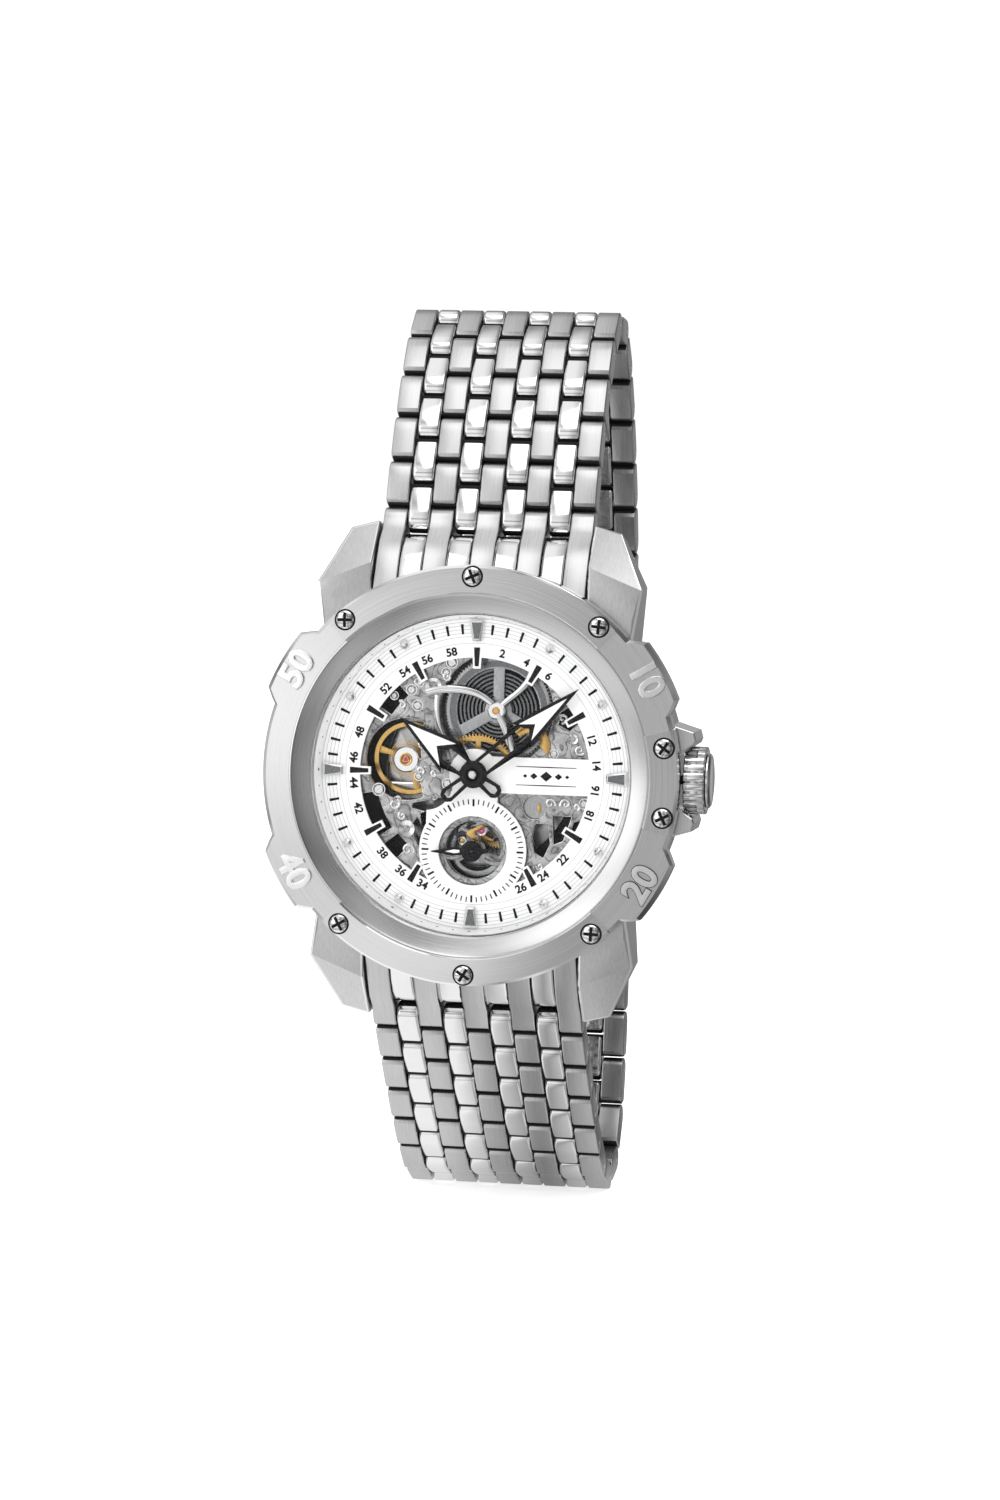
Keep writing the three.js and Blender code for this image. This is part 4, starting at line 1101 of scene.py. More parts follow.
def arrow_hand(name, body, node, angle, shape):
    """A black frame with a white arrow head, two rails and a looped tail."""
    length, notch, corner, half_width, rail, tail, hub, pin = shape
    low, high = depth_span(node)
    inside = rail - HAND_WALL
    rise = (notch - corner) / half_width
    waist = hub - 0.25
    right = [(half_width, corner), (rail, corner + rise * (half_width - rail)), (rail - 0.12, waist),
             (0.62, -waist * 0.6), (0.82, -tail + 0.55), (0.5, -tail + 0.08), (0.2, -tail)]
    outline = [(0, length), *both_sides(right)]
    tip = length - 0.34 * math.hypot(length - corner, half_width) / half_width
    barb = (half_width - 0.56, corner + 0.6)
    head = [(0, tip), barb, (0, notch + 0.36), (-barb[0], barb[1])]
    slot_top = min(corner + rise * (half_width - inside) - 0.35, notch - 0.9)
    slot = [(0, notch - 0.5), *both_sides([(inside, slot_top), (inside - 0.06, hub - 0.05)])]
    loop = both_sides([(0.22, -hub + 0.12), (0.44, -tail + 0.85), (0.26, -tail + 0.45)])
    plate = slab([outline, head, slot, loop], low, high, 0.06, 2)
    boss = lathe([(pin, low), (hub, low), (hub, high - 0.02), (hub - 0.12, high + 0.06), (pin, high + 0.06)],
                 steps=64)
    inlay = prisms([[(0, tip + 0.15), (barb[0] + 0.08, barb[1] - 0.08), (0, notch + 0.26),
                     (-barb[0] - 0.08, barb[1] - 0.08)]], low + 0.03, high - 0.05)
    parts = [(at_axis(mesh, CENTRE, angle), finish)
             for mesh, finish in ((plate, BLACK), (boss, BLACK), (inlay, WHITE))]
    assemble(name, body, parts, [node])


def hands():
    """The hour and minute arrows, the cap over both, and the small seconds hand."""
    arrow_hand("hour_pointer", "hour", "hour_hand", HOUR_ANGLE, HOUR_SHAPE)
    arrow_hand("minute_pointer", "minute", "minute_hand", MINUTE_ANGLE, MINUTE_SHAPE)
    _, high = depth_span("minute_hand")
    cap = lathe([(0, high + 0.2), (0.36, high + 0.18), (0.44, high + 0.1), (0.44, high - 0.4),
                 (0, high - 0.4)], steps=40)
    cover = lathe([(0.4, high + 0.05), (0.9, high + 0.05), (0.95, high - 0.02), (0.95, high - 0.2),
                   (0.4, high - 0.2)], steps=48)
    assemble("minute_hub", "minute", [(cap, MARKER), (cover, BLACK)])
    seconds_pointer()


def seconds_pointer():
    """A short needle on a black ring round its pipe."""
    low, high = depth_span("seconds_hand")
    outline = both_sides([(0.06, 4.45), (0.46, 1.9), (0.4, 1.1), (0.85, 0.8), (0.85, -0.8), (0.34, -1.15),
                          (0.08, -1.9)])
    window = [(0, 2.9), (0.2, 1.95), (0.14, 1.3), (-0.14, 1.3), (-0.2, 1.95)]
    needle = slab([outline, window], low, high, 0.05, 2)
    ring = lathe([(0.55, low), (1.15, low), (1.15, high), (1.02, high + 0.08), (0.62, high + 0.08),
                  (0.55, high)], steps=48)
    pipe = lathe([(0, low), (0.5, low), (0.5, high - 0.1), (0.3, high), (0, high)], steps=32)
    inlay = prisms([window], low + 0.03, high - 0.06)
    parts = [(at_axis(mesh, SECONDS_AXIS, SECONDS_ANGLE), finish)
             for mesh, finish in ((needle, BLACK), (ring, BLACK), (inlay, WHITE), (pipe, MARKER))]
    assemble("seconds_pointer", "fourth", parts, ["seconds_hand"])


# ---------------------------------------------------------------- movement

BARREL = (2.1, 6.9)
THIRD = (2.5, -4.45)
ESCAPE = (-2.4, -5.35)
PALLET = (-4.5, -2.7)
BALANCE = (-7.7, 1.3)
PLATE_BACK, PLATE_FRONT = depth_span("main_plate")
CENTRE_LEVEL = PLATE_BACK - 0.3
COCK_TURN = 118
REAR_PIVOT = 3.7
FRONT_PIVOT = 8.0
COIL_STEPS = 48
BARREL_EDGE = 6.0
BARREL_WINDOW = BARREL_EDGE + 0.25
DRUM_OUTER, DRUM_INNER, DRUM_FLOOR = 4.9, 4.6, 4.9
TOOTH = ((0.0, 1), (0.18, 0), (0.48, 0), (0.66, 1))
ESCAPE_TOOTH = ((0.0, 2.2), (0.12, 2.15), (0.45, 1.62), (0.85, 1.6), (0.93, 2.0))


def toothed(radius, teeth, depth):
    """A wheel's edge with flat-topped teeth."""
    return [clock(360 * (tooth + turn) / teeth, radius - depth * cut)
            for tooth in range(teeth) for turn, cut in TOOTH]


def spoke_windows(count, inner, outer, spoke):
    """The openings between a wheel's spokes, with rounded ends."""
    windows = []
    for index in range(count):
        start = 360 * index / count
        end = start + 360 / count
        outer_lap = math.degrees(spoke / outer)
        inner_lap = min(math.degrees(spoke / inner), 170 / count)
        windows.append(arc(start + outer_lap, end - outer_lap, outer, steps=14) +
                       arc(end - inner_lap, start + inner_lap, inner, steps=6))
    return windows


def arbor_shape(radius, low, high):
    """A thin axle with tapered pivots."""
    return lathe([(0, low), (radius * 0.6, low), (radius, low + radius * 0.5), (radius, high - radius * 0.5),
                  (radius * 0.6, high), (0, high)], steps=24)


def train_wheel(name, body, node, axis, rim, finish, pinion, arbor):
    """A spoked wheel with its pinion and arbor; each carries its depths in the case."""
    radius, teeth, level, spokes = rim
    leaf_radius, leaves, low, high = pinion
    web = slab([toothed(radius, teeth, 0.26), *spoke_windows(spokes, 0.9, radius - 0.85, 0.32)],
               level, level + 0.22, 0.03, 1)
    hub = lathe([(0, level - 0.05), (0.75, level - 0.05), (0.75, level + 0.3), (0.45, level + 0.36),
                 (0, level + 0.36)], steps=32)
    leaf = slab([toothed(leaf_radius, leaves, 0.22)], low, high, 0.02, 1)
    parts = [(at_axis(mesh, axis), coat) for mesh, coat in
             ((web, finish), (hub, finish), (leaf, SPRING), (arbor_shape(*arbor), SPRING))]
    assemble(name, body, parts, [node])


def coil(inner, outer, turns, width, low, high):
    """A flat spiral spring."""
    count = turns * COIL_STEPS
    path = [clock(360 * k / COIL_STEPS, inner + (outer - inner) * k / count) for k in range(count + 1)]
    back = [clock(360 * k / COIL_STEPS, inner + width + (outer - inner) * k / count)
            for k in range(count, -1, -1)]
    return slab([path + back], low, high, 0)


def barrel():
    """A geared lid on an open drum with the mainspring inside."""
    lid = slab([toothed(BARREL_EDGE, 96, 0.24), *spoke_windows(3, 1.5, 4.55, 0.62)], 6.4, 6.8, 0.06, 2)
    wall = tube(DRUM_INNER, DRUM_OUTER, DRUM_FLOOR, 6.5)
    # The drum's floor is black as painted shade; it shows dark between the mainspring's coils.
    floor = tube(0, DRUM_OUTER, DRUM_FLOOR, DRUM_FLOOR + 0.25, steps=64)
    ring = tube(4.72, 5.4, 6.78, 6.84)
    parts = [(at_axis(mesh, BARREL), finish) for mesh, finish in
             ((lid, RHODIUM), (wall, RHODIUM), (ring, RHODIUM_DARK), (floor, BLACK))]
    assemble("barrel_drum", "barrel", parts, ["barrel"])
    spring = at_axis(coil(1.3, 4.3, 7, 0.2, 5.2, 6.3), BARREL)
    assemble("mainspring_coil", "barrel", [(spring, RHODIUM_DARK)], ["mainspring"])


def jewel(place, level, radius, ring, stone=RUBY, setting=MARKER):
    """A ringed pivot jewel set in a plate."""
    cup = lathe([(radius, level - 0.2), (radius + ring, level - 0.2), (radius + ring, level + 0.06),
                 (radius + ring - 0.05, level + 0.1), (radius, level + 0.02)], place, 32)
    gem = lathe([(0, level - 0.12), (radius * 0.28, level - 0.12), (radius * 0.4, level),
                 (radius * 0.8, level - 0.01), (radius, level - 0.04), (radius, level - 0.2),
                 (0, level - 0.2)], place, 32)
    return [(cup, setting), (gem, stone)]


def plate_screw(place, level, radius, turn):
    """A slotted screw head, lying in a bright countersink."""
    head = lathe([(0, level + 0.16), (radius - 0.08, level + 0.16), (radius, level + 0.09),
                  (radius, level - 0.2), (0, level - 0.2)], steps=32)
    slot = block((-radius - 0.1, -0.07, level + 0.05), (radius + 0.1, 0.07, level + 0.3), 0.01, 1)
    head = at_axis(carve(head, [slot]), place, turn)
    sink = lathe([(radius + 0.03, level - 0.1), (radius + 0.12, level + 0.03), (radius + 0.2, level + 0.03),
                  (radius + 0.2, level - 0.1)], place, 32)
    return [(head, MARKER), (sink, MIRROR)]


def scroll(place, size, turn, level, hand=1):
    """An engraver's curl raised on the plate."""
    points = [(*clock(turn + hand * 430 * sweep, size * (0.16 + 0.84 * sweep), place), level)
              for sweep in (k / 13 for k in range(14))]
    return (ridge_shape(points, 0.16, 0.7, (0.7, 1.25)), MIRROR)


def main_plate():
    """The pierced plate behind the dial, with its polished arms, scrolls, screws and jewels."""
    windows = [
        circle(BARREL_WINDOW, BARREL, 96),
        [*arc(155, 385, 4.45, BALANCE, 48), (-6.5, 4.6), (-6.25, 2.9), (-6.1, 1.3), (-6.25, -0.6)],
        circle(3.15, SECONDS_AXIS, 64),
        arc(236, 258, 13.1) + arc(258, 236, 11.1),
        arc(303, 317, 13.1) + arc(317, 303, 11.3),
        arc(222, 231, 13.1, steps=5) + arc(231, 222, 10.9, steps=5),
        [clock(a, 1.25, (6.5, -3.5)) for a in range(0, 360, 12)],
        [(6.6, -5.3), (8.0, -5.2), (8.3, -7.4), (7.6, -8.9), (6.7, -8.4), (6.3, -6.8)],
        [(8.6, -4.3), (10.6, -4.4), (9.7, -7.0), (8.75, -7.4)],
        [(10.9, -5.0), (12.2, -4.6), (11.6, -6.6), (10.5, -7.0)],
        [(-6.9, -3.5), (-5.2, -3.1), (-3.3, -2.7), (-3.1, -3.7), (-5.6, -4.3), (-6.9, -4.0)],
        [(-6.3, -4.9), (-5.4, -4.4), (-5.4, -7.0), (-6.0, -8.4), (-6.6, -7.2), (-6.9, -5.8)],
        [(9.2, 6.9), (10.2, 7.6), (11.3, 6.0), (10.2, 5.0), (9.0, 5.6)],
    ]
    sheet = slab([circle(BORE - 0.8, steps=128), *windows], PLATE_BACK, PLATE_FRONT, 0.14, 3)
    parts = [(sheet, (PLATE, MIRROR))]
    level = PLATE_FRONT
    boss = lathe([(0.5, PLATE_BACK), (2.1, PLATE_BACK), (2.1, level - 0.1), (2.0, level), (0.5, level)],
                 steps=64)
    parts.append((boss, PLATE))
    parts += plate_arms(level) + plate_ornament(level)
    assemble("pierced_plate", "root", parts, ["main_plate"])


def plate_arms(level):
    """The curved arms that carry the barrel's front pivot."""
    arms = []
    routes = [
        [(-5.6, 8.6), (-4.2, 9.1), (-2.4, 9.15), (-0.6, 8.95), (1.0, 8.3), (2.1, 7.2)],
        [(6.2, 12.4), (6.0, 11.2), (5.4, 9.9), (4.3, 8.8), (3.1, 7.9), (2.3, 7.1)],
        [(2.3, 6.6), (2.9, 5.6), (3.4, 4.4), (3.7, 3.2), (4.3, 2.2)],
        [(-4.4, 8.4), (-4.6, 6.6), (-4.3, 4.9), (-3.6, 3.6)],
    ]
    for route, radius in zip(routes, (0.42, 0.34, 0.42, 0.3)):
        points = [(x, y, level - 0.1) for x, y in route]
        arms.append((ridge_shape(points, radius, 0.75, (1.25, 0.85)), MIRROR))
    hub = lathe([(0.42, level - 0.5), (0.95, level - 0.5), (0.95, level + 0.12), (0.82, level + 0.24),
                 (0.42, level + 0.24)], BARREL, 48)
    arms.append((hub, MIRROR))
    for place in ((0.0, -6.6), (-2.6, -9.4), (2.5, -9.9)):
        points = [(place[0] + dx, place[1] + dy, level - 0.2)
                  for dx, dy in ((-1.4, 0.6), (-0.5, 0.0), (0.6, -0.1), (1.5, 0.6))]
        arms.append((ridge_shape(points, 0.26, 0.7), RHODIUM))
    return arms


SCROLLS = (
    ((8.3, -3.0), 0.62, 40, 1), ((10.0, -3.0), 0.62, -40, -1), ((9.4, 6.3), 0.55, 120, 1),
    ((11.4, 2.9), 0.6, 200, -1), ((-6.0, 2.9), 0.5, 20, 1), ((-8.9, -3.6), 0.7, 100, -1),
    ((-8.0, -4.9), 0.45, 250, 1), ((-3.3, 10.4), 0.55, 300, 1), ((-6.6, 9.9), 0.5, 180, -1),
    ((-7.3, -8.6), 0.75, 40, 1), ((5.9, -10.7), 0.6, 10, -1), ((11.2, -3.3), 0.4, 90, 1),
    ((-8.3, 7.2), 0.5, 30, -1), ((7.3, -9.9), 0.45, 210, 1))
PLATE_SCREWS = (
    ((-2.9, 12.0), 0.46, 20), ((-3.5, 10.9), 0.34, 75), ((-7.3, 8.9), 0.42, 110), ((-6.6, 7.2), 0.42, 20),
    ((-6.4, 9.7), 0.3, 60), ((-10.7, -2.1), 0.52, 140), ((-6.3, -0.5), 0.32, 10), ((8.5, 2.4), 0.34, 50),
    ((-9.2, 8.2), 0.3, 95), ((10.6, -8.0), 0.3, 30), ((-5.6, 0.4), 0.26, 10), ((12.0, -2.9), 0.4, 65))
BUSHES = (
    ((-4.9, 9.4), 0.5, 0.42), ((-7.5, -6.3), 0.42, 0.5), ((10.6, 4.1), 0.32, 0.3), ((-4.6, -1.3), 0.3, 0.26),
    ((-8.6, -3.2), 0.26, 0.22), ((9.6, -8.1), 0.26, 0.1), ((2.4, -7.1), 0.22, 0.08))


def plate_ornament(level):
    """Scrolls, screws, bushes and jewels, and the small gilt levers that lie on the plate."""
    parts = [scroll(place, size, turn, level, hand) for place, size, turn, hand in SCROLLS]
    for place, radius, turn in PLATE_SCREWS:
        parts += plate_screw(place, level, radius, turn)
    # Each bush has a black centre as painted shade for its pivot hole.
    for place, radius, ring in BUSHES:
        parts += jewel(place, level, radius, ring, BLACK, MIRROR)
    parts += jewel((0.75, -6.15), level, 0.42, 0.2)
    parts += jewel(PALLET, level, 0.24, 0.16)
    parts += jewel((-1.3, -7.4), level - 0.1, 0.28, 0.2, GILT)
    lever = arc(18, 118, 2.15, (6.0, 3.2)) + arc(118, 18, 0.75, (6.3, 3.6))
    hook = arc(-60, 30, 1.7, (5.7, 3.8), 8) + arc(30, -60, 1.05, (5.8, 3.5), 8)
    fork = [(-0.6, -6.2), (0.9, -5.5), (1.1, -5.75), (0.0, -6.35), (0.5, -7.3), (0.2, -7.5), (-0.9, -6.6)]
    sliver = [(6.9, -2.95), (7.15, -3.3), (7.15, -4.0), (6.9, -4.25), (6.75, -3.6)]
    for outline, low, high, bevel in ((lever, 0.02, 0.24, 0.07), (hook, 0.02, 0.24, 0.07),
                                      (fork, 0.02, 0.2, 0.05), (sliver, -0.75, -0.6, 0.03)):
        parts.append((slab([outline], level + low, level + high, bevel), GILT))
    stud = lathe([(0, level + 0.42), (0.42, level + 0.36), (0.55, level + 0.25), (0.55, level), (0, level)],
                 (6.0, 3.8), 32)
    parts.append((stud, BLACK))
    parts.append((tube(0, 1.22, level - 0.9, level - 0.75, (6.5, -3.5), 40), RHODIUM))
    return parts


BRIDGE_LOW, BRIDGE_HIGH = 3.5, 4.4
BRIDGE_EDGE = BORE - 0.85


def under_plates():
    """The lower floor of the movement, seen through the plate's openings and from the back."""
    bridge("barrel_bridge", arc(-95.2, 95.2, BRIDGE_EDGE, steps=60),
           [circle(0.62, BARREL, 24), circle(0.5, CENTRE, 24), circle(0.34, BALANCE, 16)],
           [(11.5, 5.0), (-11.0, 7.5), (3.5, 13.4), (-4.5, 13.0)],
           [(BARREL, 0.5), (BALANCE, 0.35), ((7.4, 9.2), 0.35)],
           [(lathe([(0.5, 1.95), (0.8, 1.95), (0.88, 2.05), (0.88, 3.6), (0.5, 3.6)], steps=40), MIRROR)])
    bridge("train_bridge", arc(95.9, 264.1, BRIDGE_EDGE, steps=60),
           [circle(0.34, axis, 16) for axis in (THIRD, SECONDS_AXIS, ESCAPE, PALLET)],
           [(12.0, -6.0), (-12.4, -4.6), (0.4, -14.4), (7.2, -11.6)],
           [(THIRD, 0.34), (SECONDS_AXIS, 0.34), (ESCAPE, 0.34), (PALLET, 0.3)], [])
    # This black ring is painted shade: it darkens the gap between the plate and the dial's opening.
    movement_shade_ring = tube(10.4, BORE - 0.9, 4.6, 5.4)
    barrel_room = slab([circle(6.6, BARREL, 64)], 4, 8, 0)
    assemble("painted_shade_ring", "root", [(carve(movement_shade_ring, [barrel_room]), BLACK)])


def bridge(node, outline, holes, screws, stones, extra):
    """A striped bridge with its screws and jewels on the side that faces the back."""
    parts = [(slab([outline, *holes], BRIDGE_LOW, BRIDGE_HIGH, 0.1, 2), (STRIPED, MIRROR)), *extra]
    fittings = []
    for spot in screws:
        fittings += plate_screw(spot, 0.0, 0.75, 40)
    for spot, radius in stones:
        fittings += jewel(spot, 0.0, radius, 0.22)
    parts += [(facing_back(mesh, BRIDGE_LOW), finish) for mesh, finish in fittings]
    assemble(node + "_plate", "root", parts, [node])


def facing_back(mesh, level):
    """A fitting drawn on a front face, put on a back face at the level instead."""
    copy = moved(mesh, Matrix.Translation((0, 0, level)) @ Matrix.Scale(-1, 4, (0, 0, 1)))
    copy.flip_normals()
    return copy


def going_train():
    """Wheel sizes are radius, teeth, depth and spokes; pinions radius, leaves and both depths."""
    barrel()
    train_wheel("centre_gear", "centre", "centre_wheel", CENTRE, (4.3, 72, CENTRE_LEVEL, 4), GILT,
                (1.25, 12, 6.2, 6.9), (0.38, REAR_PIVOT, 9.9))
    train_wheel("third_gear", "third", "third_wheel", THIRD, (3.85, 75, 5.2, 3), GILT,
                (0.85, 10, 4.5, CENTRE_LEVEL + 0.2), (0.24, REAR_PIVOT, FRONT_PIVOT))
    train_wheel("fourth_gear", "fourth", "fourth_wheel", SECONDS_AXIS, (3.3, 70, 5.9, 3), RHODIUM,
                (0.8, 10, 5.15, 6.0), (0.24, REAR_PIVOT, 10.1))
    escape_gear()
    pallets()
    balance()


def escape_gear():
    """Fifteen hooked teeth on four spokes."""
    teeth = [clock(360 * (tooth + turn) / 15, reach) for tooth in range(15) for turn, reach in ESCAPE_TOOTH]
    rim = slab([teeth, *spoke_windows(4, 0.6, 1.35, 0.16)], 6.5, 6.7, 0.03, 1)
    arbor = arbor_shape(0.24, REAR_PIVOT, FRONT_PIVOT)
    pinion = slab([toothed(0.6, 8, 0.18)], 5.8, 6.6, 0.02, 1)
    parts = [(at_axis(mesh, ESCAPE), SPRING) for mesh in (rim, arbor, pinion)]
    assemble("escape_gear", "escape", parts, ["escape_wheel"])


def pallets():
    """The lever with its two ruby pallets towards the escape wheel and its fork behind."""
    dx, dy = ESCAPE[0] - PALLET[0], ESCAPE[1] - PALLET[1]
    reach, turn = math.hypot(dx, dy), 90 - math.degrees(math.atan2(dy, dx))
    stone = reach - 2.5
    right = [(0.35, -0.3), (1.15, stone + 0.1), (1.6, stone - 0.05), (2.0, stone + 0.55),
             (1.75, stone + 0.75), (1.35, stone + 0.35), (0.6, stone + 0.4)]
    tail = [(0.22, -3.2), (0.5, -3.75), (0.25, -3.85), (0.0, -3.4)]
    outline = tail[::-1] + both_sides(right) + [(-x, y) for x, y in tail[:3]]
    lever = slab([outline], 6.45, 6.75, 0.04, 1)
    stones = [block((x - 0.18, stone + 0.4, 6.5), (x + 0.18, stone + 0.95, 6.72), 0.03, 1)
              for x in (-1.78, 1.78)]
    parts = [(at_axis(lever, PALLET, turn), SPRING),
             (at_axis(arbor_shape(0.19, REAR_PIVOT, FRONT_PIVOT), PALLET), SPRING)]
    parts += [(at_axis(mesh, PALLET, turn), RUBY) for mesh in stones]
    assemble("pallet_lever", "pallet", parts, ["pallet_fork"])


def balance():
    """A gilt rim on three arms with timing weights, and the hairspring over it."""
    rim = lathe([(3.45, 5.6), (4.0, 5.6), (4.0, 6.05), (3.95, 6.1), (3.5, 6.1), (3.45, 6.05)], steps=96)
    arm = slab([[(-0.42, 0.5), (-0.26, 2.0), (-0.42, 3.6), (0.42, 3.6), (0.26, 2.0), (0.42, 0.5)]],
               5.72, 6.02, 0.04, 1)
    arms = [(at_axis(arm, BALANCE, turn), GILT) for turn in (285, 405, 525)]
    hub = lathe([(0, 5.6), (0.7, 5.6), (0.7, 6.15), (0.55, 6.25), (0, 6.25)], steps=32)
    parts = [(at_axis(rim, BALANCE), GILT), (at_axis(hub, BALANCE), GILT),
             (at_axis(arbor_shape(0.19, REAR_PIVOT, 7.7), BALANCE), SPRING), *arms]
    for turn in range(15, 375, 30):
        weight = lathe([(0, 0.0), (0.2, 0.0), (0.24, 0.05), (0.24, 0.4), (0, 0.4)], clock(turn, 3.72), 16)
        parts.append((at_axis(moved(weight, Matrix.Translation((0, 0, 5.75))), BALANCE), GILT))
    assemble("balance_rim", "balance", parts, ["balance_wheel"])
    spring = at_axis(coil(0.55, 2.1, 7, 0.05, 6.87, 7.08), BALANCE)
    assemble("hairspring_coil", "balance", [(spring, GILT)], ["hairspring"])


def balance_cock():
    """The bar over the balance, with a ruby in a gilt setting and its clip."""
    low, high = PLATE_BACK, PLATE_FRONT
    foot = [(-0.9, 0.8), (-0.75, 2.4), (-1.25, 3.8), (-1.05, 6.0), (1.05, 6.0), (1.25, 3.8), (0.75, 2.4),
            (0.9, 0.8)]
    arm = at_axis(slab([foot], low + 0.02, high + 0.12, 0.12, 3), BALANCE, COCK_TURN)
    head = lathe([(0.62, low), (1.42, low), (1.42, high + 0.12), (1.3, high + 0.26), (0.72, high + 0.26),
                  (0.62, high + 0.16)], BALANCE, 64)
    setting = lathe([(0.5, high), (0.72, high), (0.72, high + 0.3), (0.62, high + 0.34), (0.5, high + 0.3)],
                    BALANCE, 48)
    stone = lathe([(0, high + 0.16), (0.56, high + 0.16), (0.6, high + 0.1), (0.6, high - 0.2),
                   (0, high - 0.2)], BALANCE, 32)
    reaches = [0.36 * (1 + 0.28 * math.cos(math.radians(30 * k))) for k in range(36)]
    lobes, inner = [[clock(10 * k, reach * size, BALANCE) for k, reach in enumerate(reaches)]
                    for size in (1, 0.62)]
    clip = slab([lobes, inner], high + 0.16, high + 0.24, 0.02, 1)
    curls = [scroll((-6.1, 0.1), 0.45, 60, high + 0.12, 1), scroll((-4.6, -0.1), 0.35, 200, high + 0.12, -1)]
    parts = [(arm, (PLATE, MIRROR)), (head, MIRROR), (setting, GILT), (stone, RUBY), (clip, GILT), *curls]
    parts += plate_screw((-3.1, -1.2), high + 0.12, 0.4, 15)
    assemble("balance_cock_bar", "root", parts, ["balance_cock"])


def motion_work():
    """The hour wheel and cannon pinion under the hands, and the barrel's arbor."""
    wheel = slab([toothed(2.5, 40, 0.22), circle(0.83, steps=32)], PLATE_FRONT + 0.3, PLATE_FRONT + 0.5,
                 0.03, 1)
    pipe = tube(0.83, 1.15, 8.5, 9.95, steps=40)
    assemble("hour_wheel_gear", "hour", [(wheel, GILT), (pipe, GILT)], ["hour_wheel"])
    leaves = slab([toothed(1.0, 14, 0.18), circle(0.48, steps=24)], 8.26, 8.45, 0.02, 1)
    sleeve = tube(0.48, 0.75, 8.26, 10.55, steps=32)
    assemble("cannon_pinion_tube", "minute", [(leaves, SPRING), (sleeve, SPRING)],
             ["cannon_pinion"])
    pin = lathe([(0.0, 3.65), (0.5, 3.65), (0.58, 3.75), (0.58, 8.0), (0.5, 8.08), (0, 8.08)], BARREL, 32)
    cap = lathe([(0, 8.46), (0.3, 8.46), (0.38, 8.38), (0.38, 8.0), (0, 8.0)], BARREL, 32)
    assemble("barrel_arbor_pin", "root", [(pin, GILT), (cap, GILT)], ["barrel_arbor"])


# ---------------------------------------------------------------- back of the case

BACK_EDGE, BACK_WINDOW = 18.5, 12.55
ROTOR_LOW = 2.0
ROTOR_EDGE = BORE - 1.8


def rotor():
    """A heavy half ring on a windowed web, over a ball bearing."""
    low, edge = ROTOR_LOW, ROTOR_EDGE
    ring = [*arc(92, 268, edge, steps=48), *arc(268, 92, edge - 2.9, steps=48)]
    weight = slab([ring], low, low + 1.1, 0.15, 3)
    outline = [*arc(94, 266, edge - 2.4, steps=40), clock(270, 2.3), *arc(290, 430, 2.3, steps=14)]
    windows = [[*arc(a, a + 36, edge - 3.9, steps=10), *arc(a + 30, a + 6, 4.2, steps=6)]
               for a in (98, 138, 186, 226)]
    web = slab([outline, *windows], low + 0.3, low + 0.9, 0.08, 2)
    hub = lathe([(0.98, low), (2.2, low), (2.3, low + 0.1), (2.3, low + 1.1), (0.98, low + 1.1)], steps=64)
    bearing = lathe([(0.98, low - 0.08), (1.7, low - 0.08), (1.8, low), (1.8, low + 0.2), (0.98, low + 0.2)],
                    steps=48)
    rim_line = tube(edge - 2.75, edge - 2.55, low - 0.03, low + 0.1)
    lower_half = slab([[(-20, -0.8), (20, -0.8), (20, -20), (-20, -20)]], 0, 9, 0)
    parts = [(weight, (STRIPED, MIRROR)), (web, (RHODIUM, MIRROR)), (hub, RHODIUM), (bearing, MIRROR),
             (keep(rim_line, lower_half), GILT)]
    assemble("rotor_weight", "rotor", parts, ["rotor"])


def case_back():
    """The screwed back: a ring with key notches round a flush window."""
    edge, window = BACK_EDGE, BACK_WINDOW
    ring = lathe([(window, 0.02), (window + 0.25, 0.0), (16.1, 0.0), (16.25, 0.12), (16.4, 0.0),
                  (edge - 0.75, 0.0), (edge - 0.1, 0.45), (edge, 0.6), (edge, 1.0), (BORE - 0.05, 1.0),
                  (BORE - 0.05, 1.6), (window, 1.6)], steps=180)
    notch = block((-1.3, -1.15, -0.6), (1.3, 1.15, 0.55), 0.25, 3)
    notches = [at_axis(notch, clock(turn, edge - 0.2), turn) for turn in range(30, 390, 60)]
    parts = [(carve(ring, notches), BACK_TURNED)]
    assemble("screw_back", "root", parts, ["case_back"])


# ---------------------------------------------------------------- crown

CROWN_FLUTES = 20


def crown():
    """A fluted grip with a polished cap over a groove painted near black as shade."""
    length = CROWN_HIGH.x - CROWN_LOW.x
    flute = ((0.0, 0.42), (0.13, 0.08), (0.3, 0.01), (0.5, 0), (0.7, 0.01), (0.87, 0.08))
    edge = [clock(360 * (k + turn) / CROWN_FLUTES, CROWN_RADIUS - cut)
            for k in range(CROWN_FLUTES) for turn, cut in flute]
    grip = slab([edge], 0.0, length - 0.55, 0.16, 3)
    cap = lathe([(0, length), (2.2, length - 0.02), (2.75, length - 0.1), (2.98, length - 0.28),
                 (2.98, length - 0.45), (0, length - 0.45)], steps=64)
    groove_shade = tube(0, 2.85, length - 0.7, length - 0.4, steps=48)
    place = along_stem(CROWN_LOW.x, CROWN_DEPTH)
    parts = [(moved(mesh, place), finish) for mesh, finish in
             ((grip, MIRROR), (cap, MARKER), (groove_shade, PAINTED_GAP_SHADE))]
    assemble("fluted_crown", "crown", parts, ["crown"])


# ---------------------------------------------------------------- clasp

BLADE = 7.5
COVER = BAND_HALF - 0.9
KNUCKLE = 0.74
KNUCKLE_SPLIT = 2.6
INNER_DEPTHS, MIDDLE_DEPTHS, COVER_DEPTHS = (0.6, 1.5), (-0.5, 0.4), (-1.8, -0.7)
FOLD_INSET = 4.8
FOLD_GAP = 0.85
FINGER = 2.8


def clasp_plate(width, start, end, depths, windows=(), soft=0.14):
    """A flat blade; width is its half width."""
    outline = [(-width, start), (width, start), (width, end), (-width, end)]
    return slab([outline, *windows], *depths, soft, 3)


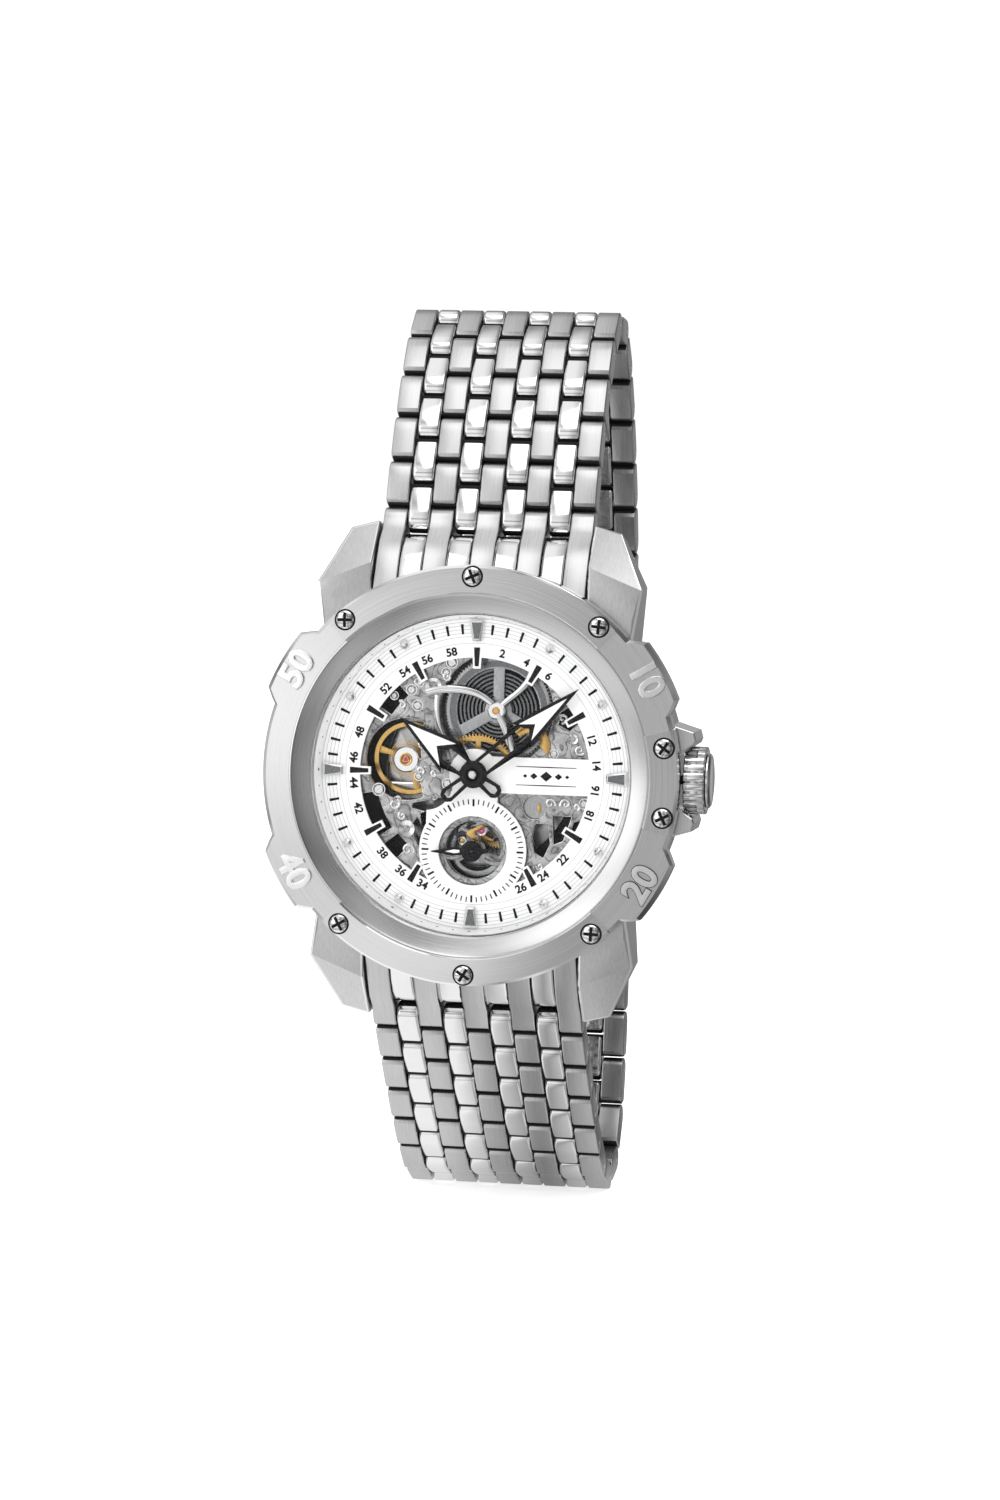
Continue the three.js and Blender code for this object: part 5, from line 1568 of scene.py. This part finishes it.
def blade_slot(start, end, width=1.6):
    """A long rounded window in a blade."""
    return [*arc(90, 270, width, (0, start), 10), *arc(270, 450, width, (0, end), 10)][::-1]


def knuckle(at, start, end):
    """A barrel of a fold hinge."""
    return moved(pin_shape(start, end, KNUCKLE), Matrix.Translation((0, *at)))


def fingers(start, tail):
    """Four polished fingers that join a blade to the last link."""
    return [(column(index, *nose_span(start, tail), 0.3, 3), LINK_POLISHED) for index in range(1, COLUMNS, 2)]


def nose_span(start, tail):
    """A finger's nose centre lies on its pin; column() counts from the nose's tip."""
    return (start - NOSE, tail) if tail > start else (start + NOSE, tail)


def clasp():
    """The folding clasp: two polished blades inside a brushed cover."""
    bottom = next(Vector(joint["pos_m"]) for joint in frame["joints"] if joint["name"] == "clasp_hinge")
    pin, slope = chain_places("u")[-1]
    top = pin + Vector((0, math.cos(slope), math.sin(slope))) * PITCH * MM
    run = top - bottom
    length = run.length / MM
    place = along_link(bottom, math.atan2(run.z, run.y), False)
    fold_top, fold_bottom = (length - FOLD_INSET, 0.5), (FOLD_INSET, -0.6)
    inner_blade(fold_top, place)
    middle_blade(fold_top, fold_bottom, place)
    clasp_cover(fold_bottom, length, place)


def inner_blade(fold, place):
    """The blade that carries the lower links."""
    low, high = INNER_DEPTHS
    plate = clasp_plate(BLADE, 1.8, fold[0] - FOLD_GAP, INNER_DEPTHS, [blade_slot(9, 27)])
    parts = [(plate, MIRROR), *fingers(0, FINGER)]
    parts += [(knuckle(fold, *sides), MIRROR) for sides in ((-BLADE, -KNUCKLE_SPLIT), (KNUCKLE_SPLIT, BLADE))]
    parts += [(block((left, fold[0] - 1.4, low), (right, fold[0], high), 0.08), MIRROR)
              for left, right in ((-BLADE, -KNUCKLE_SPLIT), (KNUCKLE_SPLIT, BLADE))]
    assemble("clasp_blade_inner", "inner_blade", parts, ["clasp_inner_blade"], place)


def middle_blade(fold_top, fold_bottom, place):
    """The blade between both folds."""
    low, high = MIDDLE_DEPTHS
    plate = clasp_plate(BLADE, fold_bottom[0] + FOLD_GAP, fold_top[0] - FOLD_GAP, MIDDLE_DEPTHS,
                        [blade_slot(10, 28)])
    parts = [(plate, MIRROR)]
    for fold, way in ((fold_top, -1), (fold_bottom, 1)):
        near, far = sorted((fold[0], fold[0] + way * 1.4))
        leaf = block((-2.5, near, low), (2.5, far, high), 0.08)
        parts += [(knuckle(fold, -2.5, 2.5), MIRROR), (leaf, MIRROR)]
    assemble("clasp_blade_middle", "middle_blade", parts, ["clasp_middle_blade"], place)


def clasp_cover(fold, length, place):
    """The outer plate with its side flanges and push buttons."""
    low, high = COVER_DEPTHS
    start, end = fold[0] + FOLD_GAP, length - 2.4
    plate = clasp_plate(COVER, start, end, COVER_DEPTHS, soft=0.3)
    parts = [(plate, (CLASP_BRUSHED, MIRROR)), *fingers(length, length - FINGER)]
    button = lathe([(0, 0), (1.2, 0), (1.3, -0.1), (1.3, -0.6), (0, -0.6)], steps=32)
    for side in (-1, 1):
        left, right = sorted((side * (COVER - 1.3), side * COVER))
        flange = block((left, start + 1, low), (right, length - 3.8, 1.3), 0.25, 3)
        beside = Matrix(((0, 0, side, side * (COVER + 0.55)), (1, 0, 0, length / 2), (0, 1, 0, 0.1),
                         (0, 0, 0, 1)))
        left, right = sorted((side * KNUCKLE_SPLIT, side * BLADE))
        leaf = block((left, fold[0], low), (right, start + 0.5, high), 0.08)
        parts += [(flange, CLASP_BRUSHED), (moved(button, beside), MIRROR),
                  (knuckle(fold, left, right), MIRROR), (leaf, MIRROR)]
    assemble("clasp_cover_plate", "cover", parts, ["clasp_cover"], place)


# ---------------------------------------------------------------- the rest of the frame, light and floor

def frame_nodes():
    """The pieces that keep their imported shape."""
    for node, finish, slot in (
            ("crystal", CRYSTAL, "sapphire"), ("case_back_glass", CRYSTAL, "sapphire"),
            ("movement_ring", RHODIUM, "grey_movement"), ("winding_stem", SPRING, "spring_steel"),
            ("crown_gasket", RUBBER, "seal_rubber")):
        piece = bpy.data.objects[node]
        piece.data.materials.clear()
        piece.data.materials.append(finish)


FLOOR_GAP = 0.0002
FLOOR_REACH = 4
PANELS = {"left_panel": ((-0.32, -0.34, 0.14), (0.3, 0.42), 0.35),
          "top_panel": ((0.06, -0.22, 0.46), (0.4, 0.3), 0.5)}


def studio():
    """A pale floor under the bracelet, a white surround and soft panels."""
    floor_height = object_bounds()[0][2] - FLOOR_GAP
    sheet = bmesh.new()
    corners = [sheet.verts.new((x * FLOOR_REACH, y * FLOOR_REACH, floor_height))
               for x, y in ((-1, -1), (1, -1), (1, 1), (-1, 1))]
    sheet.faces.new(corners)
    floor = bpy.data.objects.new("floor", finished(sheet))
    floor.data.materials.append(FLOOR)
    bpy.context.scene.collection.objects.link(floor)
    bpy.context.scene.view_settings.view_transform = "Standard"
    surround()
    for name, panel in PANELS.items():
        soft_box(name, *panel)


def surround():
    """White to the eye, with light and dark bands all round for the steel to mirror."""
    world = bpy.data.worlds.new("surround")
    world.use_nodes = True
    sky = Nodes(world.node_tree)
    banded = sky.node("ShaderNodeBackground", None, {"Color": sky.bands(sky.node("ShaderNodeTexCoord"))})
    white = sky.node("ShaderNodeBackground", None, {"Color": (1, 1, 1, 1), "Strength": SURROUND_LIGHT})
    sky.seen_or_mirrored(white, banded, "World Output")
    bpy.context.scene.world = world


bracelet()
end_links()
case()
bezel()
dial()
hour_markers()
minute_ring()
hands()
main_plate()
under_plates()
going_train()
balance_cock()
motion_work()
rotor()
case_back()
crown()
clasp()
frame_nodes()
studio()
